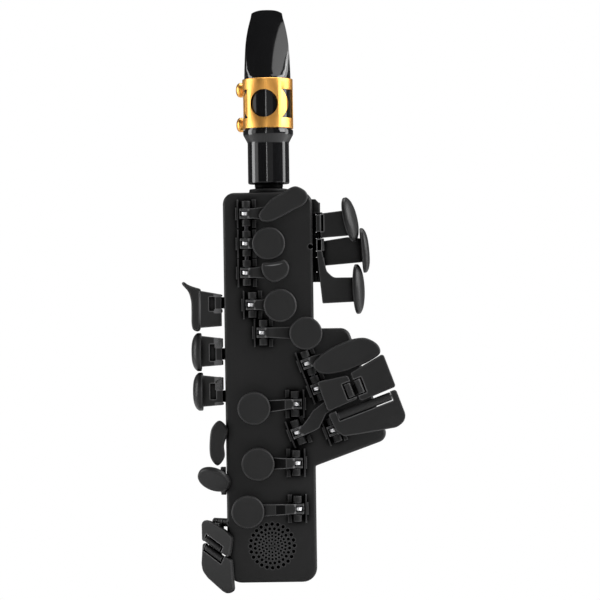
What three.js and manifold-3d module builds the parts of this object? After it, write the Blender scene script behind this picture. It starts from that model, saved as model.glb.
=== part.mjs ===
// Digital wind controller: a saxophone-shaped electronic instrument with a box body, a side wing,
// a real mouthpiece with ligature and reed, and hinged keys laid out as on a saxophone.
// Units are millimetres. +Z runs up the body to the mouthpiece, -Y is the front that carries the
// finger keys, and the origin is the centre of the flat foot face.
import * as THREE from "three";
import { mergeVertices } from "three/addons/utils/BufferGeometryUtils.js";
import Module from "manifold-3d";

const wasm = await Module();
wasm.setup();

// Driving dimensions of the casing and what it holds
const clearance = 0.3;
const overrun = 1;
const casing = {
  width: 47,
  height: 205,
  frontDepth: 17,
  rearDepth: 17,
  wall: 2,
  topCorner: 6,
  footCorner: 7.5,
};
const rim = { inset: 1.7, softInset: 0.5, softDepth: 0.6, depth: 2 };
const seam = { front: 1, gap: clearance };
const wing = {
  tipX: 62,
  tipZ: 74.7,
  footZ: 60.9,
  topZ: 133,
  shoulderX: 41.3,
  corner: 5,
  fillet: 1,
  plate: 2.6,
};
const speaker = { x: 0.1, z: 19.3, radius: 13, frame: 2, depth: 5.5, magnet: 7 };
const grille = { ring: 11.5, hole: 0.95, step: 0.79, holes: 24, rings: 2 };
const board = { sideMargin: 4, foot: 55, topMargin: 15, thickness: 1.6, standoff: 5, bossRadius: 2.6, margin: 8 };
const battery = { sideMargin: 7, foot: 92, top: 150, thickness: 8 };
const sensor = { width: 12, height: 10, depth: 5 };
const port = { inset: 14, y: 8, width: 9, depth: 3.4, length: 7.5, wall: 0.8, flange: 2 };
const jack = { inset: 14, y: 8, bore: 1.8, radius: 3.2, length: 9, flange: 5 };
const button = { z: 32, radius: 4, flange: 5.5, flangeDepth: 1.5, proud: 1.6 };

// Neck, mouthpiece and ligature: heights are measured from the body's top face
const collar = { wall: 1.2, lip: 1.6, thickness: 2.1, sleeveLength: 11 };
const neck = { x: 0.7, radius: 7.5, step: 6.8, bore: 4.5, foot: -10, shoulder: 5.6, top: 34 };
const cork = { wall: 1.1, foot: 7, top: 30 };
const mouth = {
  foot: 5,
  tip: 98.5,
  shankWall: 3,
  lip: 0.9,
  shankTop: 26.5,
  bodyWall: 5.1,
  bodyFoot: 31.2,
  seatWall: 4.1,
  seatFoot: 34.1,
  seatTop: 61,
  tipHalf: 7.9,
  tipThickness: 1.4,
  tableDepth: 9.5,
  tableFoot: 27,
  boreTop: 38,
  chamber: 6.2,
  chamberTop: 59,
  windowHalf: 5.6,
  windowTip: 1.6,
  ledge: 0.4,
  arcHalf: 9,
  arcDrop: 2.6,
};
const reed = { foot: 31.5, footHalf: 6.2, tipHalf: 7.6, heel: 2.6, tipThickness: 0.5, scrape: 65, gap: clearance };
const ligature = {
  edge: 0.4,
  wall: 0.8,
  ease: 1,
  railFoot: 5.3,
  railTop: 5.8,
  ringRadius: 11.8,
  holeRadius: 7.35,
  turn: -9,
  windowBack: 3,
  lugWidth: 2.6,
  lugGap: 2.4,
  lugDepth: 5.4,
  lugHeight: 6,
};
const screw = { fromTop: 4.1, fromFoot: 3.4, headRadius: 3.9, headLength: 3.8, shank: 1.1, tail: 8 };

// Hinge hardware, alike on every front key
const hinge = {
  rise: 3,
  rod: 1,
  post: 2.2,
  postLength: 3.7,
  hub: 2.6,
  hubLength: 5.3,
  capLeft: 3.4,
  capRight: 2.8,
  capTop: 5.2,
  slotLeft: 2.9,
  slotLength: 2.9,
  slotTop: 6.9,
  trayLeft: 4,
  trayRight: 2.9,
  trayLeftWall: 0.9,
  trayRightWall: 2.2,
  trayTop: 2.2,
  trayEnd: 0.8,
  bump: 0.8,
  bumpHalf: 3.3,
};
const boreRadius = hinge.rod + clearance;
const postNear = hinge.hubLength / 2 + clearance;
const postFar = postNear + hinge.postLength;
const trayHalf = postFar + hinge.trayEnd;
const stub = { radius: 1.2, hub: 2.2, root: 0.4, gap: 0.4 };

// Key arms, pearls and plates
const arm = { thickness: 1.5, startX: 1, startLift: 4.7, rootX: 3.4, rootLift: 5.7, rootHalf: 2.65, endHalf: 3.5 };
const slope = { start: 7.4, run: 5.2, lift: 4.1 };
const pearl = { radius: 8.6, bottom: 7.2, thickness: 3, stem: 3 };
const paddle = { bottom: 7.6, thickness: 3.2 };
const plate = { bottom: 9.2, thickness: 2.4, corner: 1.4, rim: 0.5, riserFrom: 0.8, riserTo: 4.6 };
const axle = { radius: 0.5, length: 1, gap: 0.35 };

const counts = { arc: 5, pad: 20, bore: 8, barrel: 10, round: 24, corner: 3, hole: 5 };
const angle = THREE.MathUtils.degToRad;
const frontY = -casing.frontDepth;
const rearY = casing.rearDepth;
const sideX = casing.width / 2;
const boardTop = casing.height - board.topMargin;
const boardWidth = casing.width - 2 * board.sideMargin;
const batteryWidth = casing.width - 2 * battery.sideMargin;
const portX = port.inset - sideX;
const jackX = sideX - jack.inset;
const up = (lift) => hinge.rise - lift;

const finish = (name, color, roughness, metalness = 0) =>
  new THREE.MeshStandardMaterial({ name, color, roughness, metalness });
const shellBlack = finish("shell_black", 0x262627, 0.62);
const keyBlack = finish("key_black", 0x2c2c2d, 0.55);
const gloss = finish("mouthpiece_black", 0x0a0a0b, 0.12);
const gold = finish("gold", 0xe0a44a, 0.22, 1);
const steel = finish("steel", 0xc8c8ca, 0.25, 1);
const rodBlack = finish("rod_black", 0x232325, 0.35, 1);
const rubber = finish("soft_black", 0x161617, 0.8);
const boardGreen = finish("board_green", 0x0d3a24, 0.5);
const foil = finish("battery_foil", 0x8d9095, 0.4);
const cane = finish("cane", 0xd9bd84, 0.6);
const corkTan = finish("cork_tan", 0xb98a5a, 0.85);

const point = (x, y, z) => new THREE.Vector3(x, y, z);
const flat = (x, z) => new THREE.Vector2(x, z);
const span = (side, near, far) => (side > 0 ? [near, far] : [-far, -near]);

// Turns a closed geometry into a solid whose faces point outwards.
function solid(geometry) {
  const bare = new THREE.BufferGeometry().setAttribute("position", geometry.getAttribute("position"));
  bare.setIndex(geometry.index);
  const merged = mergeVertices(bare);
  const at = merged.getAttribute("position");
  const corner = (i) => new THREE.Vector3().fromBufferAttribute(at, i);
  const faces = [];
  let volume = 0;
  for (let i = 0; i < merged.index.count; i += 3) {
    const [a, b, c] = [0, 1, 2].map((k) => merged.index.getX(i + k));
    if (a === b || b === c || c === a) continue;
    faces.push([a, b, c]);
    volume += corner(a).dot(corner(b).cross(corner(c)));
  }
  if (volume < 0) faces.forEach((face) => face.reverse());
  const triVerts = new Uint32Array(faces.flat());
  return new wasm.Manifold(new wasm.Mesh({ numProp: 3, vertProperties: at.array, triVerts }));
}

function geometryOf(body) {
  const mesh = body.getMesh();
  const geometry = new THREE.BufferGeometry();
  geometry.setAttribute("position", new THREE.BufferAttribute(mesh.vertProperties, 3));
  geometry.setIndex(new THREE.BufferAttribute(mesh.triVerts, 1));
  geometry.computeVertexNormals();
  return geometry;
}

const join = (...parts) => parts.reduce((sum, part) => sum.add(part));
const cut = (body, ...tools) => tools.reduce((rest, tool) => rest.subtract(tool), body);

// Moves a solid: turned about X, then Y, then Z, then shifted.
function placed(body, { x = 0, y = 0, z = 0, turnX = 0, turnY = 0, turnZ = 0 }) {
  const matrix = new THREE.Matrix4().makeRotationFromEuler(new THREE.Euler(turnX, turnY, turnZ, "ZYX"));
  matrix.setPosition(x, y, z);
  return body.transform(matrix.elements);
}

function block([x0, x1], [y0, y1], [z0, z1]) {
  const geometry = new THREE.BoxGeometry(x1 - x0, y1 - y0, z1 - z0);
  return solid(geometry.translate((x0 + x1) / 2, (y0 + y1) / 2, (z0 + z1) / 2));
}

function barrel(radius, from, to, sides = counts.barrel) {
  const run = to.clone().sub(from);
  const geometry = new THREE.CylinderGeometry(radius, radius, run.length(), sides);
  geometry.applyQuaternion(new THREE.Quaternion().setFromUnitVectors(point(0, 1, 0), run.clone().normalize()));
  const middle = from.clone().add(to).divideScalar(2);
  return solid(geometry.translate(middle.x, middle.y, middle.z));
}

// A solid of revolution about +Z from (radius, height) points that start and end on the axis.
function turned(profile, sides = counts.round) {
  const points = profile.map(([radius, height]) => flat(radius, height));
  return solid(new THREE.LatheGeometry(points, sides).rotateX(Math.PI / 2));
}

// A closed solid through flat outlines of equal point counts, each carried into space by its layer.
const alongX = (p, x) => [x, p.x, p.y];
const alongY = (p, y) => [p.x, y, p.y];
const alongZ = (p, z) => [p.x, p.y, z];
function loft(layers, toSpace) {
  const count = layers[0].outline.length;
  const positions = layers.flatMap(({ outline, at }) => outline.flatMap((p) => toSpace(p, at)));
  const index = [];
  for (let layer = 0; layer < layers.length - 1; layer++) {
    for (let i = 0; i < count; i++) {
      const a = layer * count + i;
      const b = layer * count + ((i + 1) % count);
      index.push(a, b + count, b, a, a + count, b + count);
    }
  }
  const cap = (layer, reverse) => {
    const { outline } = layers[layer];
    const flip = THREE.ShapeUtils.isClockWise(outline) !== reverse;
    for (const [a, b, c] of THREE.ShapeUtils.triangulateShape(outline, []))
      index.push(...(flip ? [c, b, a] : [a, b, c]).map((i) => layer * count + i));
  };
  cap(0, false);
  cap(layers.length - 1, true);
  const geometry = new THREE.BufferGeometry();
  geometry.setAttribute("position", new THREE.Float32BufferAttribute(positions, 3));
  return solid(geometry.setIndex(index));
}

const prism = (outline, from, to, toSpace) =>
  loft(
    [
      { outline, at: from },
      { outline, at: to },
    ],
    toSpace,
  );

// A polygon, counter-clockwise, moved inwards by inset and with each corner rounded to its radius.
function rounded(corners, inset = 0) {
  const count = corners.length;
  const edge = (i) => {
    const from = corners[i % count].at;
    const along = corners[(i + 1) % count].at.clone().sub(from).normalize();
    return { from: from.clone().add(flat(-along.y, along.x).multiplyScalar(inset)), along };
  };
  return corners.flatMap(({ radius }, i) => {
    const before = edge(i + count - 1);
    const after = edge(i);
    const turning = before.along.cross(after.along);
    const reach = after.from.clone().sub(before.from).cross(after.along) / turning;
    const bend = Math.atan2(turning, before.along.dot(after.along));
    const arc = Math.max(radius - Math.sign(bend) * inset, radius / counts.corner);
    const start = before.from.clone().addScaledVector(before.along, reach - arc * Math.tan(Math.abs(bend) / 2));
    const centre = start.clone().addScaledVector(flat(-before.along.y, before.along.x), Math.sign(bend) * arc);
    return Array.from({ length: counts.corner + 1 }, (_, k) =>
      start.clone().rotateAround(centre, (bend * k) / counts.corner),
    );
  });
}

// A smooth closed outline through knots given as shares of a width and a height.
function smooth({ x, z, width, height, shares }, sides = counts.pad) {
  const knots = shares.map(([across, along]) => point(x + across * width, 0, z + along * height));
  const curve = new THREE.CatmullRomCurve3(knots, true, "centripetal");
  return curve.getSpacedPoints(sides).slice(0, sides).map((p) => flat(p.x, p.z));
}

function oval(halfWidth, halfHeight, sides = counts.pad) {
  return Array.from({ length: sides }, (_, i) => {
    const around = (2 * Math.PI * i) / sides;
    return flat(Math.cos(around) * halfWidth, Math.sin(around) * halfHeight);
  });
}

// An outline scaled about the mean of its points.
function scaledAbout(outline, share) {
  const middle = outline.reduce((sum, p) => sum.add(p), flat(0, 0)).divideScalar(outline.length);
  return outline.map((p) => p.clone().sub(middle).multiplyScalar(share).add(middle));
}

// A touch that faces -Y with its back at y = 0: rim shares of its outline at shares of its thickness.
const pearlShares = [[0.92, 0], [1, 0.25], [1, 0.62], [0.94, 0.88], [0.82, 1]];
const domeShares = [[0.94, 0], [1, 0.08], [1, 0.42], [0.84, 0.72], [0.58, 0.92], [0.25, 1]];
function touch(outline, thickness, rimShares = pearlShares) {
  return loft(
    rimShares.map(([share, rise]) => ({ outline: scaledAbout(outline, share), at: -thickness * rise })),
    alongY,
  );
}

// A bent strip through (x, y) stations, each spanning low to high in Z.
const unitSection = [flat(-1, 0), flat(1, 0), flat(1, 1), flat(-1, 1)];
function ribbon(stations, thickness) {
  const last = stations.length - 1;
  const layers = stations.map((station, i) => {
    const before = stations[Math.max(i - 1, 0)];
    const after = stations[Math.min(i + 1, last)];
    const side = flat(before.y - after.y, after.x - before.x).setLength(thickness / 2);
    return { outline: unitSection, at: { ...station, side } };
  });
  const toSpace = (p, { x, y, low, high, side }) => [x + p.x * side.x, y + p.x * side.y, low + p.y * (high - low)];
  return loft(layers, toSpace);
}

const group = new THREE.Group();
function add(name, body, material, parent = group, place = {}) {
  const mesh = new THREE.Mesh(geometryOf(body), material);
  mesh.name = name;
  mesh.position.set(place.x ?? 0, place.y ?? 0, place.z ?? 0);
  parent.add(mesh);
  return mesh;
}

// Where each hinge of a front key stands; side is +1 where the arm runs to +X, -1 where it runs to -X.
const axisY = frontY - hinge.rise;
const frontKeys = {
  front_f: { x: -11.2, z: 193.8, side: 1 },
  b: { x: -11.2, z: 178.1, side: 1, reach: 11.6, drop: -0.2 },
  bis: { x: -11.2, z: 162.8, side: 1 },
  a: { x: -8.6, z: 146, side: 1, reach: 14.6, drop: -0.5 },
  g: { x: -3.1, z: 131.4, side: 1, reach: 22.3, drop: -0.6 },
  f: { x: 13.1, z: 93.8, side: -1, reach: 21.5, drop: -1.8 },
  e: { x: 13.2, z: 62.9, side: -1, reach: 19.9, drop: -0.1 },
  d: { x: 13.6, z: 38.9, side: -1, reach: 25.9, drop: -0.9 },
};

// The left little-finger table: its frame starts at the G sharp hinge, below the wing's top edge.
const tableSeat = { inset: 3.2, drop: 17.8, lean: angle(20.3) };
const table = { x: sideX - tableSeat.inset, z: wing.topZ - tableSeat.drop, lean: tableSeat.lean };
const tableHinges = {
  g_sharp: { x: 0, z: 0 },
  c_sharp: { x: 0, z: -14.1 },
  b_flat: { x: 0, z: -37.5 },
  low_b: { x: -17.9, z: -31.9 },
};
const inTable = ({ x, z }) => ({
  x: table.x + x * Math.cos(table.lean) - z * Math.sin(table.lean),
  z: table.z + x * Math.sin(table.lean) + z * Math.cos(table.lean),
});

// Casing: two moulded shells that meet near the middle of the body's depth
const bodyCorners = [
  { at: flat(-sideX, 0), radius: casing.footCorner },
  { at: flat(sideX, 0), radius: casing.footCorner },
  { at: flat(sideX, casing.height), radius: casing.topCorner },
  { at: flat(-sideX, casing.height), radius: casing.topCorner },
];
const wingCorners = [
  { at: flat(sideX, wing.footZ), radius: wing.fillet },
  { at: flat(wing.tipX, wing.tipZ), radius: wing.corner },
  { at: flat(wing.shoulderX, wing.topZ), radius: wing.corner },
  { at: flat(sideX, wing.topZ), radius: wing.fillet },
];
const shellCorners = [...bodyCorners.slice(0, 2), ...wingCorners, ...bodyCorners.slice(2)];

// A shell wall from its seam to a softened outer face.
function shell(corners, from, outer) {
  const side = Math.sign(outer - from);
  const layer = (inset, depth) => ({ outline: rounded(corners, inset), at: outer - side * depth });
  return loft(
    [
      { outline: rounded(corners), at: from },
      layer(0, rim.depth),
      layer(rim.softInset, rim.softDepth),
      layer(rim.inset, 0),
    ],
    alongY,
  );
}

// Half a circle about the axis, from its left side over the top, given by where the ends run on to.
const halfRound = (radius, facing) =>
  Array.from({ length: counts.arc + 1 }, (_, i) => {
    const around = (Math.PI * i) / counts.arc;
    return flat(-radius * Math.cos(around), facing * radius * Math.sin(around));
  });
const postOutline = [
  ...halfRound(hinge.post, -1),
  flat(hinge.post, up(-casing.wall / 2)),
  flat(-hinge.post, up(-casing.wall / 2)),
];

// The two posts and the shallow tray that carry one key's hinge, about its own axis.
function hingeSeat(side) {
  const root = up(-casing.wall / 2);
  const tray = (near, far, low, high) => block(span(side, near, far), [up(hinge.trayTop), root], [low, high]);
  const left = -hinge.trayLeft - hinge.trayLeftWall;
  const right = hinge.trayRight + hinge.trayRightWall;
  const posts = [-1, 1].flatMap((end) => [
    prism(postOutline, ...span(end, postNear, postFar), alongZ),
    tray(hinge.trayRight, right, ...span(end, hinge.bumpHalf, trayHalf)),
  ]);
  const bump = tray(left - hinge.bump, left + hinge.trayLeftWall, -hinge.bumpHalf, hinge.bumpHalf);
  const bore = barrel(boreRadius, point(0, 0, -trayHalf), point(0, 0, trayHalf), counts.bore);
  return cut(join(...posts, tray(left, -hinge.trayLeft, -trayHalf, trayHalf), bump), bore);
}
const frontSeats = Object.values(frontKeys).map(({ x, z, side }) => placed(hingeSeat(side), { x, y: axisY, z }));
const tableSeats = Object.values(tableHinges).map((at) =>
  placed(hingeSeat(1), { ...inTable(at), y: axisY, turnY: -table.lean }),
);

// Side keys on the left wall: a middle lug on the shell, a forked arm round it and a domed disc.
const lug = { x: 3.2, y: -9.5, radius: 2.2, half: 3.05, web: 1.8 };
const sideArm = { left: 9.5, right: 1.8, front: 4.6, thickness: 2, flange: 5, wall: 1.8, flareLow: 0.8, flareHigh: 1.3 };
const pocket = { right: -1.7, left: -4.8, depth: 1.2 };
const sideDisc = { radius: 10.1, y: 6, thickness: 5.4 };
const sideKeys = {
  side_c_key: { z: 120.3, low: -5.8, high: 8.3, discZ: 1.1, left: 9.5, flare: 1.5, pocketSpan: [-3.6, 5.3] },
  side_b_flat_key: { z: 98, low: -4.5, high: 10, discZ: 2.5, left: 9, flare: 1.3, pocketSpan: [-1.5, 6.9] },
};
const sideE = { z: 147.3, low: -12.3, high: 4.4, left: 9.9, flare: 2.2, cheek: 0.9, pocketSpan: [-4.2, 3.2] };
const sideLugs = [sideE, sideKeys.side_c_key, sideKeys.side_b_flat_key].map(({ z }) => {
  const web = block([-lug.x, casing.wall / 2], [-lug.web, lug.web], [-lug.half, lug.half]);
  const round = barrel(lug.radius, point(-lug.x, 0, -lug.half), point(-lug.x, 0, lug.half));
  const boreHalf = lug.half + overrun;
  const bore = barrel(boreRadius, point(-lug.x, 0, -boreHalf), point(-lug.x, 0, boreHalf));
  return placed(cut(join(web, round), bore), { x: -sideX, y: lug.y, z });
});

// Palm keys on the right wall share one rod between four lugs; heights are measured from the lowest lug's foot.
const palm = { x: 3.2, y: -9.5, z: 157.5, height: 42, hub: 2.8, rail: 1.4, railEnd: -1.4, gap: clearance };
const crest = { round: 36.8, waist: 0.6, shoulder: 0.3, notch: 41.9, step: -1.5, top: 43.8 };
const palmHubs = {
  palm_e_flat_key: { low: 5.5, high: 12.9 },
  palm_f_key: { low: 16.5, high: 22.9 },
  palm_d_key: { low: 26.5, high: 35.5 },
};
const palmOrigin = { x: sideX + palm.x, y: palm.y, z: palm.z };
const hubsUpward = Object.values(palmHubs);
const palmLugFeet = [0, ...hubsUpward.map(({ high }) => high + palm.gap)];
const palmLugTops = [...hubsUpward.map(({ low }) => low - palm.gap), crest.round];
const palmCrest = placed(
  prism(
    [
      flat(-palm.x - casing.wall / 2, crest.round - overrun),
      flat(crest.waist, crest.round - overrun),
      flat(crest.shoulder, crest.notch),
      flat(crest.step, crest.top),
      flat(-palm.x - casing.wall / 2, crest.top),
    ],
    -lug.web,
    lug.web,
    alongY,
  ),
  palmOrigin,
);
const palmRail = placed(
  block(
    [-palm.x - casing.wall / 2, palm.railEnd],
    [palm.hub + palm.gap, palm.hub + palm.gap + palm.rail],
    [0, palm.height],
  ),
  palmOrigin,
);
const palmLugs = palmLugFeet.map((foot, i) => {
  const top = palmLugTops[i];
  const web = block([-palm.x - casing.wall / 2, 0], [-lug.web, lug.web], [foot, top]);
  const round = barrel(lug.radius, point(0, 0, foot), point(0, 0, top));
  const bore = barrel(boreRadius, point(0, 0, foot - overrun), point(0, 0, top + overrun), counts.bore);
  return placed(cut(join(web, round), bore), palmOrigin);
});

// Short moulded axles on the left wall: bean and trill square to it, the two low keys slanted.
const stubs = {
  bean: { y: -13, z: 81, length: 4 },
  trill: { y: -6, z: 48, length: 3.4 },
};
const low = { inset: 5.9, lift: 1.3, z: 31.7, face: angle(-35), back: -3.7, thickness: 2.2, overlap: 1.1 };
const lowOrigin = { x: low.inset - sideX, y: frontY - low.lift, z: low.z };
const lowAxle = { from: 5.4, boss: 8.8, end: 16 };
const lowHubs = { eFlat: [-12.2, -9.2], c: [-15.6, -12.6] };
const lowAxleSolid = placed(
  join(
    barrel(stub.radius, point(-lowAxle.end, 0, 0), point(-lowAxle.from, 0, 0), counts.bore),
    barrel(stub.hub, point(-lowAxle.boss, 0, 0), point(-lowAxle.from, 0, 0)),
  ),
  { ...lowOrigin, turnZ: low.face },
);
const stubSolids = Object.values(stubs).map(({ y, z, length }) =>
  join(
    barrel(stub.radius, point(-sideX - length, y, z), point(-sideX + casing.wall / 2, y, z), counts.bore),
    barrel(stub.hub, point(-sideX - stub.root + clearance, y, z), point(-sideX + casing.wall / 2, y, z)),
  ),
);

const sleeveRadius = neck.radius + clearance + collar.wall;
const neckHole = barrel(
  sleeveRadius + clearance,
  point(neck.x, 0, casing.height - collar.sleeveLength - overrun),
  point(neck.x, 0, casing.height + overrun),
  counts.round,
);
const boardFront = frontY + casing.wall + board.standoff;
const bossAt = [board.foot + board.margin, boardTop - board.margin].flatMap((z) =>
  [-1, 1].map((side) => ({ x: side * (boardWidth / 2 - board.margin / 2), z })),
);
const bosses = bossAt.map(({ x, z }) =>
  barrel(board.bossRadius, point(x, frontY + casing.wall / 2, z), point(x, boardFront - clearance, z), counts.bore),
);
const grilleHoles = Array.from({ length: grille.rings * grille.holes }, (_, i) => {
  const ring = Math.floor(i / grille.holes);
  const around = (2 * Math.PI * (i + (ring % 2) / 2)) / grille.holes;
  const reach = grille.ring * grille.step ** ring;
  const x = speaker.x + reach * Math.cos(around);
  const z = speaker.z + reach * Math.sin(around);
  const radius = grille.hole * grille.step ** ring;
  return barrel(radius, point(x, frontY - overrun, z), point(x, frontY + casing.wall + overrun, z), counts.hole);
});

const frontCavity = prism(rounded(shellCorners, casing.wall), frontY + casing.wall, -seam.front + overrun, alongY);
const frontShell = join(
  cut(shell(shellCorners, -seam.front, frontY), frontCavity),
  ...bosses,
  ...frontSeats,
  ...tableSeats,
  ...sideLugs,
  ...palmLugs,
  palmRail,
  cut(palmCrest, placed(barrel(boreRadius, point(0, 0, 0), point(0, 0, palm.height), counts.bore), palmOrigin)),
  ...stubSolids,
  lowAxleSolid,
);
add("front_shell", cut(frontShell, neckHole, ...grilleHoles), shellBlack);

// Thumb side: lugs of the octave key and the openings of the rear shell
const octave = {
  y: 3.6,
  z: 187,
  half: 6,
  lugWidth: 2.4,
  hub: 2.4,
  length: 19,
  width: 13,
  thickness: 2.6,
  rise: 1.8,
  corner: 2.8,
};
const rearSeam = seam.gap - seam.front;
const wingPlate = prism(rounded(wingCorners), rearSeam, rearSeam + wing.plate, alongY);
const octaveY = rearY + octave.y;
const octaveLugs = [-1, 1].map((side) => {
  const across = span(side, octave.half + clearance, octave.half + clearance + octave.lugWidth);
  const web = block(across, [rearY - casing.wall / 2, octaveY], [octave.z - octave.hub, octave.z + octave.hub]);
  const round = barrel(octave.hub, point(across[0], octaveY, octave.z), point(across[1], octaveY, octave.z));
  return join(web, round);
});
const octavePinEnd = octave.half + octave.lugWidth + clearance;
const octaveBore = barrel(
  boreRadius,
  point(-octavePinEnd - overrun, octaveY, octave.z),
  point(octavePinEnd + overrun, octaveY, octave.z),
  counts.bore,
);
const portHole = block(
  [portX - port.width / 2 - clearance, portX + port.width / 2 + clearance],
  [port.y - port.depth / 2 - clearance, port.y + port.depth / 2 + clearance],
  [-overrun, casing.wall + overrun],
);
const jackHole = barrel(
  jack.radius + clearance,
  point(jackX, jack.y, -overrun),
  point(jackX, jack.y, casing.wall + overrun),
);
const buttonHole = barrel(
  button.radius + clearance,
  point(0, rearY - casing.wall - overrun, button.z),
  point(0, rearY + overrun, button.z),
);
const rearCavity = prism(rounded(bodyCorners, casing.wall), rearSeam - overrun, rearY - casing.wall, alongY);
const rearWalls = cut(shell(bodyCorners, rearSeam, rearY), rearCavity);
const rearShell = join(rearWalls, cut(wingPlate, rearCavity), ...octaveLugs);
add("rear_shell", cut(rearShell, neckHole, octaveBore, portHole, jackHole, buttonHole), shellBlack);

// Inside the body
const boardBack = boardFront + board.thickness;
const battFront = rearY - casing.wall - clearance - battery.thickness;
const sensorFront = boardBack + clearance;
const centred = (width) => [-width / 2, width / 2];
add("main_board", block(centred(boardWidth), [boardFront, boardBack], [board.foot, boardTop]), boardGreen);
const batteryDepth = [battFront, battFront + battery.thickness];
add("battery", block(centred(batteryWidth), batteryDepth, [battery.foot, battery.top]), foil);
const sensorDepth = [sensorFront, sensorFront + sensor.depth];
add("breath_sensor", block(centred(sensor.width), sensorDepth, [boardTop - sensor.height, boardTop]), rubber);
const speakerBody = turned([
  [0, speaker.depth],
  [speaker.magnet, speaker.depth],
  [speaker.magnet, speaker.frame],
  [speaker.radius, speaker.frame],
  [speaker.radius, 0],
  [0, 0],
]);
const speakerSeat = { x: speaker.x, y: frontY + casing.wall + clearance, z: speaker.z, turnX: -Math.PI / 2 };
add("speaker", placed(speakerBody, speakerSeat), rubber);
const portShell = block(
  [portX - port.width / 2, portX + port.width / 2],
  [port.y - port.depth / 2, port.y + port.depth / 2],
  [0, port.length],
);
const portFlange = block(
  [portX - port.width / 2 - port.flange, portX + port.width / 2 + port.flange],
  [port.y - port.depth / 2 - port.flange, port.y + port.depth / 2 + port.flange],
  [casing.wall + clearance, port.length],
);
const portMouth = block(
  [portX - port.width / 2 + port.wall, portX + port.width / 2 - port.wall],
  [port.y - port.depth / 2 + port.wall, port.y + port.depth / 2 - port.wall],
  [-overrun, port.length - port.wall],
);
add("usb_port", cut(join(portShell, portFlange), portMouth), steel);
const jackBody = join(
  barrel(jack.radius, point(jackX, jack.y, 0), point(jackX, jack.y, jack.length)),
  barrel(jack.flange, point(jackX, jack.y, casing.wall + clearance), point(jackX, jack.y, jack.length)),
);
const jackBore = barrel(jack.bore, point(jackX, jack.y, -overrun), point(jackX, jack.y, jack.length - overrun));
add("headphone_jack", cut(jackBody, jackBore), rubber);
const buttonInner = rearY - casing.wall - clearance;
const buttonBack = point(0, buttonInner - button.flangeDepth, button.z);
const buttonStem = barrel(button.radius, buttonBack, point(0, rearY + button.proud, button.z));
add("power_button", join(buttonStem, barrel(button.flange, buttonBack, point(0, buttonInner, button.z))), rubber);

// Neck: a collar let into the body, a stepped tube and its cork, in a group at the body's top face
const neckGroup = new THREE.Group();
neckGroup.position.set(neck.x, 0, casing.height);
group.add(neckGroup);
const upright = (radius, low, high, sides = counts.pad) => barrel(radius, point(0, 0, low), point(0, 0, high), sides);
const collarTop = clearance + collar.thickness;
const socket = join(
  upright(sleeveRadius + collar.lip, clearance, collarTop, counts.round),
  upright(sleeveRadius, clearance - collar.sleeveLength, collarTop, counts.round),
);
const socketBore = upright(neck.radius + clearance, neck.foot - overrun, neck.top, counts.round);
add("neck_socket", cut(socket, socketBore), shellBlack, neckGroup);
const tubeProfile = [
  [0, neck.foot],
  [neck.radius, neck.foot],
  [neck.radius, neck.shoulder],
  [neck.step, neck.shoulder],
  [neck.step, neck.top],
  [0, neck.top],
];
const tubeBore = upright(neck.bore, neck.foot - overrun, neck.top + overrun);
add("neck_tube", cut(turned(tubeProfile, counts.pad), tubeBore), shellBlack, neckGroup);
const corkRadius = neck.step + cork.wall;
const corkBore = upright(neck.step + clearance / 2, neck.foot, neck.top);
add("neck_cork", cut(upright(corkRadius, cork.foot, cork.top), corkBore), corkTan, neckGroup);

// Mouthpiece: round shank and body, flat reed table behind, beak sloping to a thin tip
const mouthBoreRadius = corkRadius + clearance;
const shankRadius = mouthBoreRadius + mouth.shankWall;
const bodyRadius = mouthBoreRadius + mouth.bodyWall;
const seatRadius = mouthBoreRadius + mouth.seatWall;
const unitOval = oval(1, 1, counts.round);
const ring = (halfX, frontDepth, backDepth, z) => ({
  outline: unitOval.map((p) => flat(p.x * halfX, p.y * (p.y < 0 ? frontDepth : backDepth))),
  at: z,
});
const round = (radius, z) => ring(radius, radius, radius, z);
const beakShares = [[0.12, 0.992], [0.3, 0.967], [0.5, 0.927], [0.65, 0.862], [0.78, 0.78], [0.88, 0.7]];
const beak = beakShares.map(([along, spread]) => {
  const z = mouth.seatTop + along * (mouth.tip - mouth.seatTop);
  const depth = seatRadius - along * (seatRadius + mouth.tableDepth - mouth.tipThickness);
  return ring(seatRadius * spread, depth, Math.max(seatRadius * spread, mouth.tableDepth + mouth.ledge), z);
});
const tipRing = ring(mouth.tipHalf, mouth.tipThickness - mouth.tableDepth, mouth.tableDepth + mouth.ledge, mouth.tip);
const mouthOuter = loft(
  [
    round(shankRadius - mouth.lip, mouth.foot),
    round(shankRadius, mouth.foot + mouth.lip),
    round(shankRadius, mouth.shankTop),
    round(bodyRadius, mouth.bodyFoot),
    round(bodyRadius, mouth.seatFoot - mouth.ledge),
    round(seatRadius, mouth.seatFoot),
    round(seatRadius, mouth.seatTop),
    ...beak,
    tipRing,
  ],
  alongZ,
);
const behind = casing.width;
const tableCut = block([-behind, behind], [mouth.tableDepth, behind], [mouth.tableFoot, mouth.tip + overrun]);
const windowFoot = mouth.chamberTop - overrun;
const windowTop = mouth.tip - mouth.windowTip;
const windowOutline = [
  flat(0, windowFoot),
  flat(behind, windowFoot),
  flat(behind, windowTop),
  flat(mouth.tableDepth - overrun, windowTop),
];
const arcReach = Array.from({ length: counts.round + 1 }, (_, i) => (2 * i) / counts.round - 1);
const aboveArc = prism(
  [
    ...arcReach.map((along) => {
      const x = along * bodyRadius;
      return flat(x, mouth.tip - mouth.arcDrop * (Math.abs(x) / mouth.arcHalf) ** 3);
    }),
    flat(bodyRadius, mouth.tip + overrun),
    flat(-bodyRadius, mouth.tip + overrun),
  ],
  -behind,
  behind,
  alongY,
);
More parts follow.
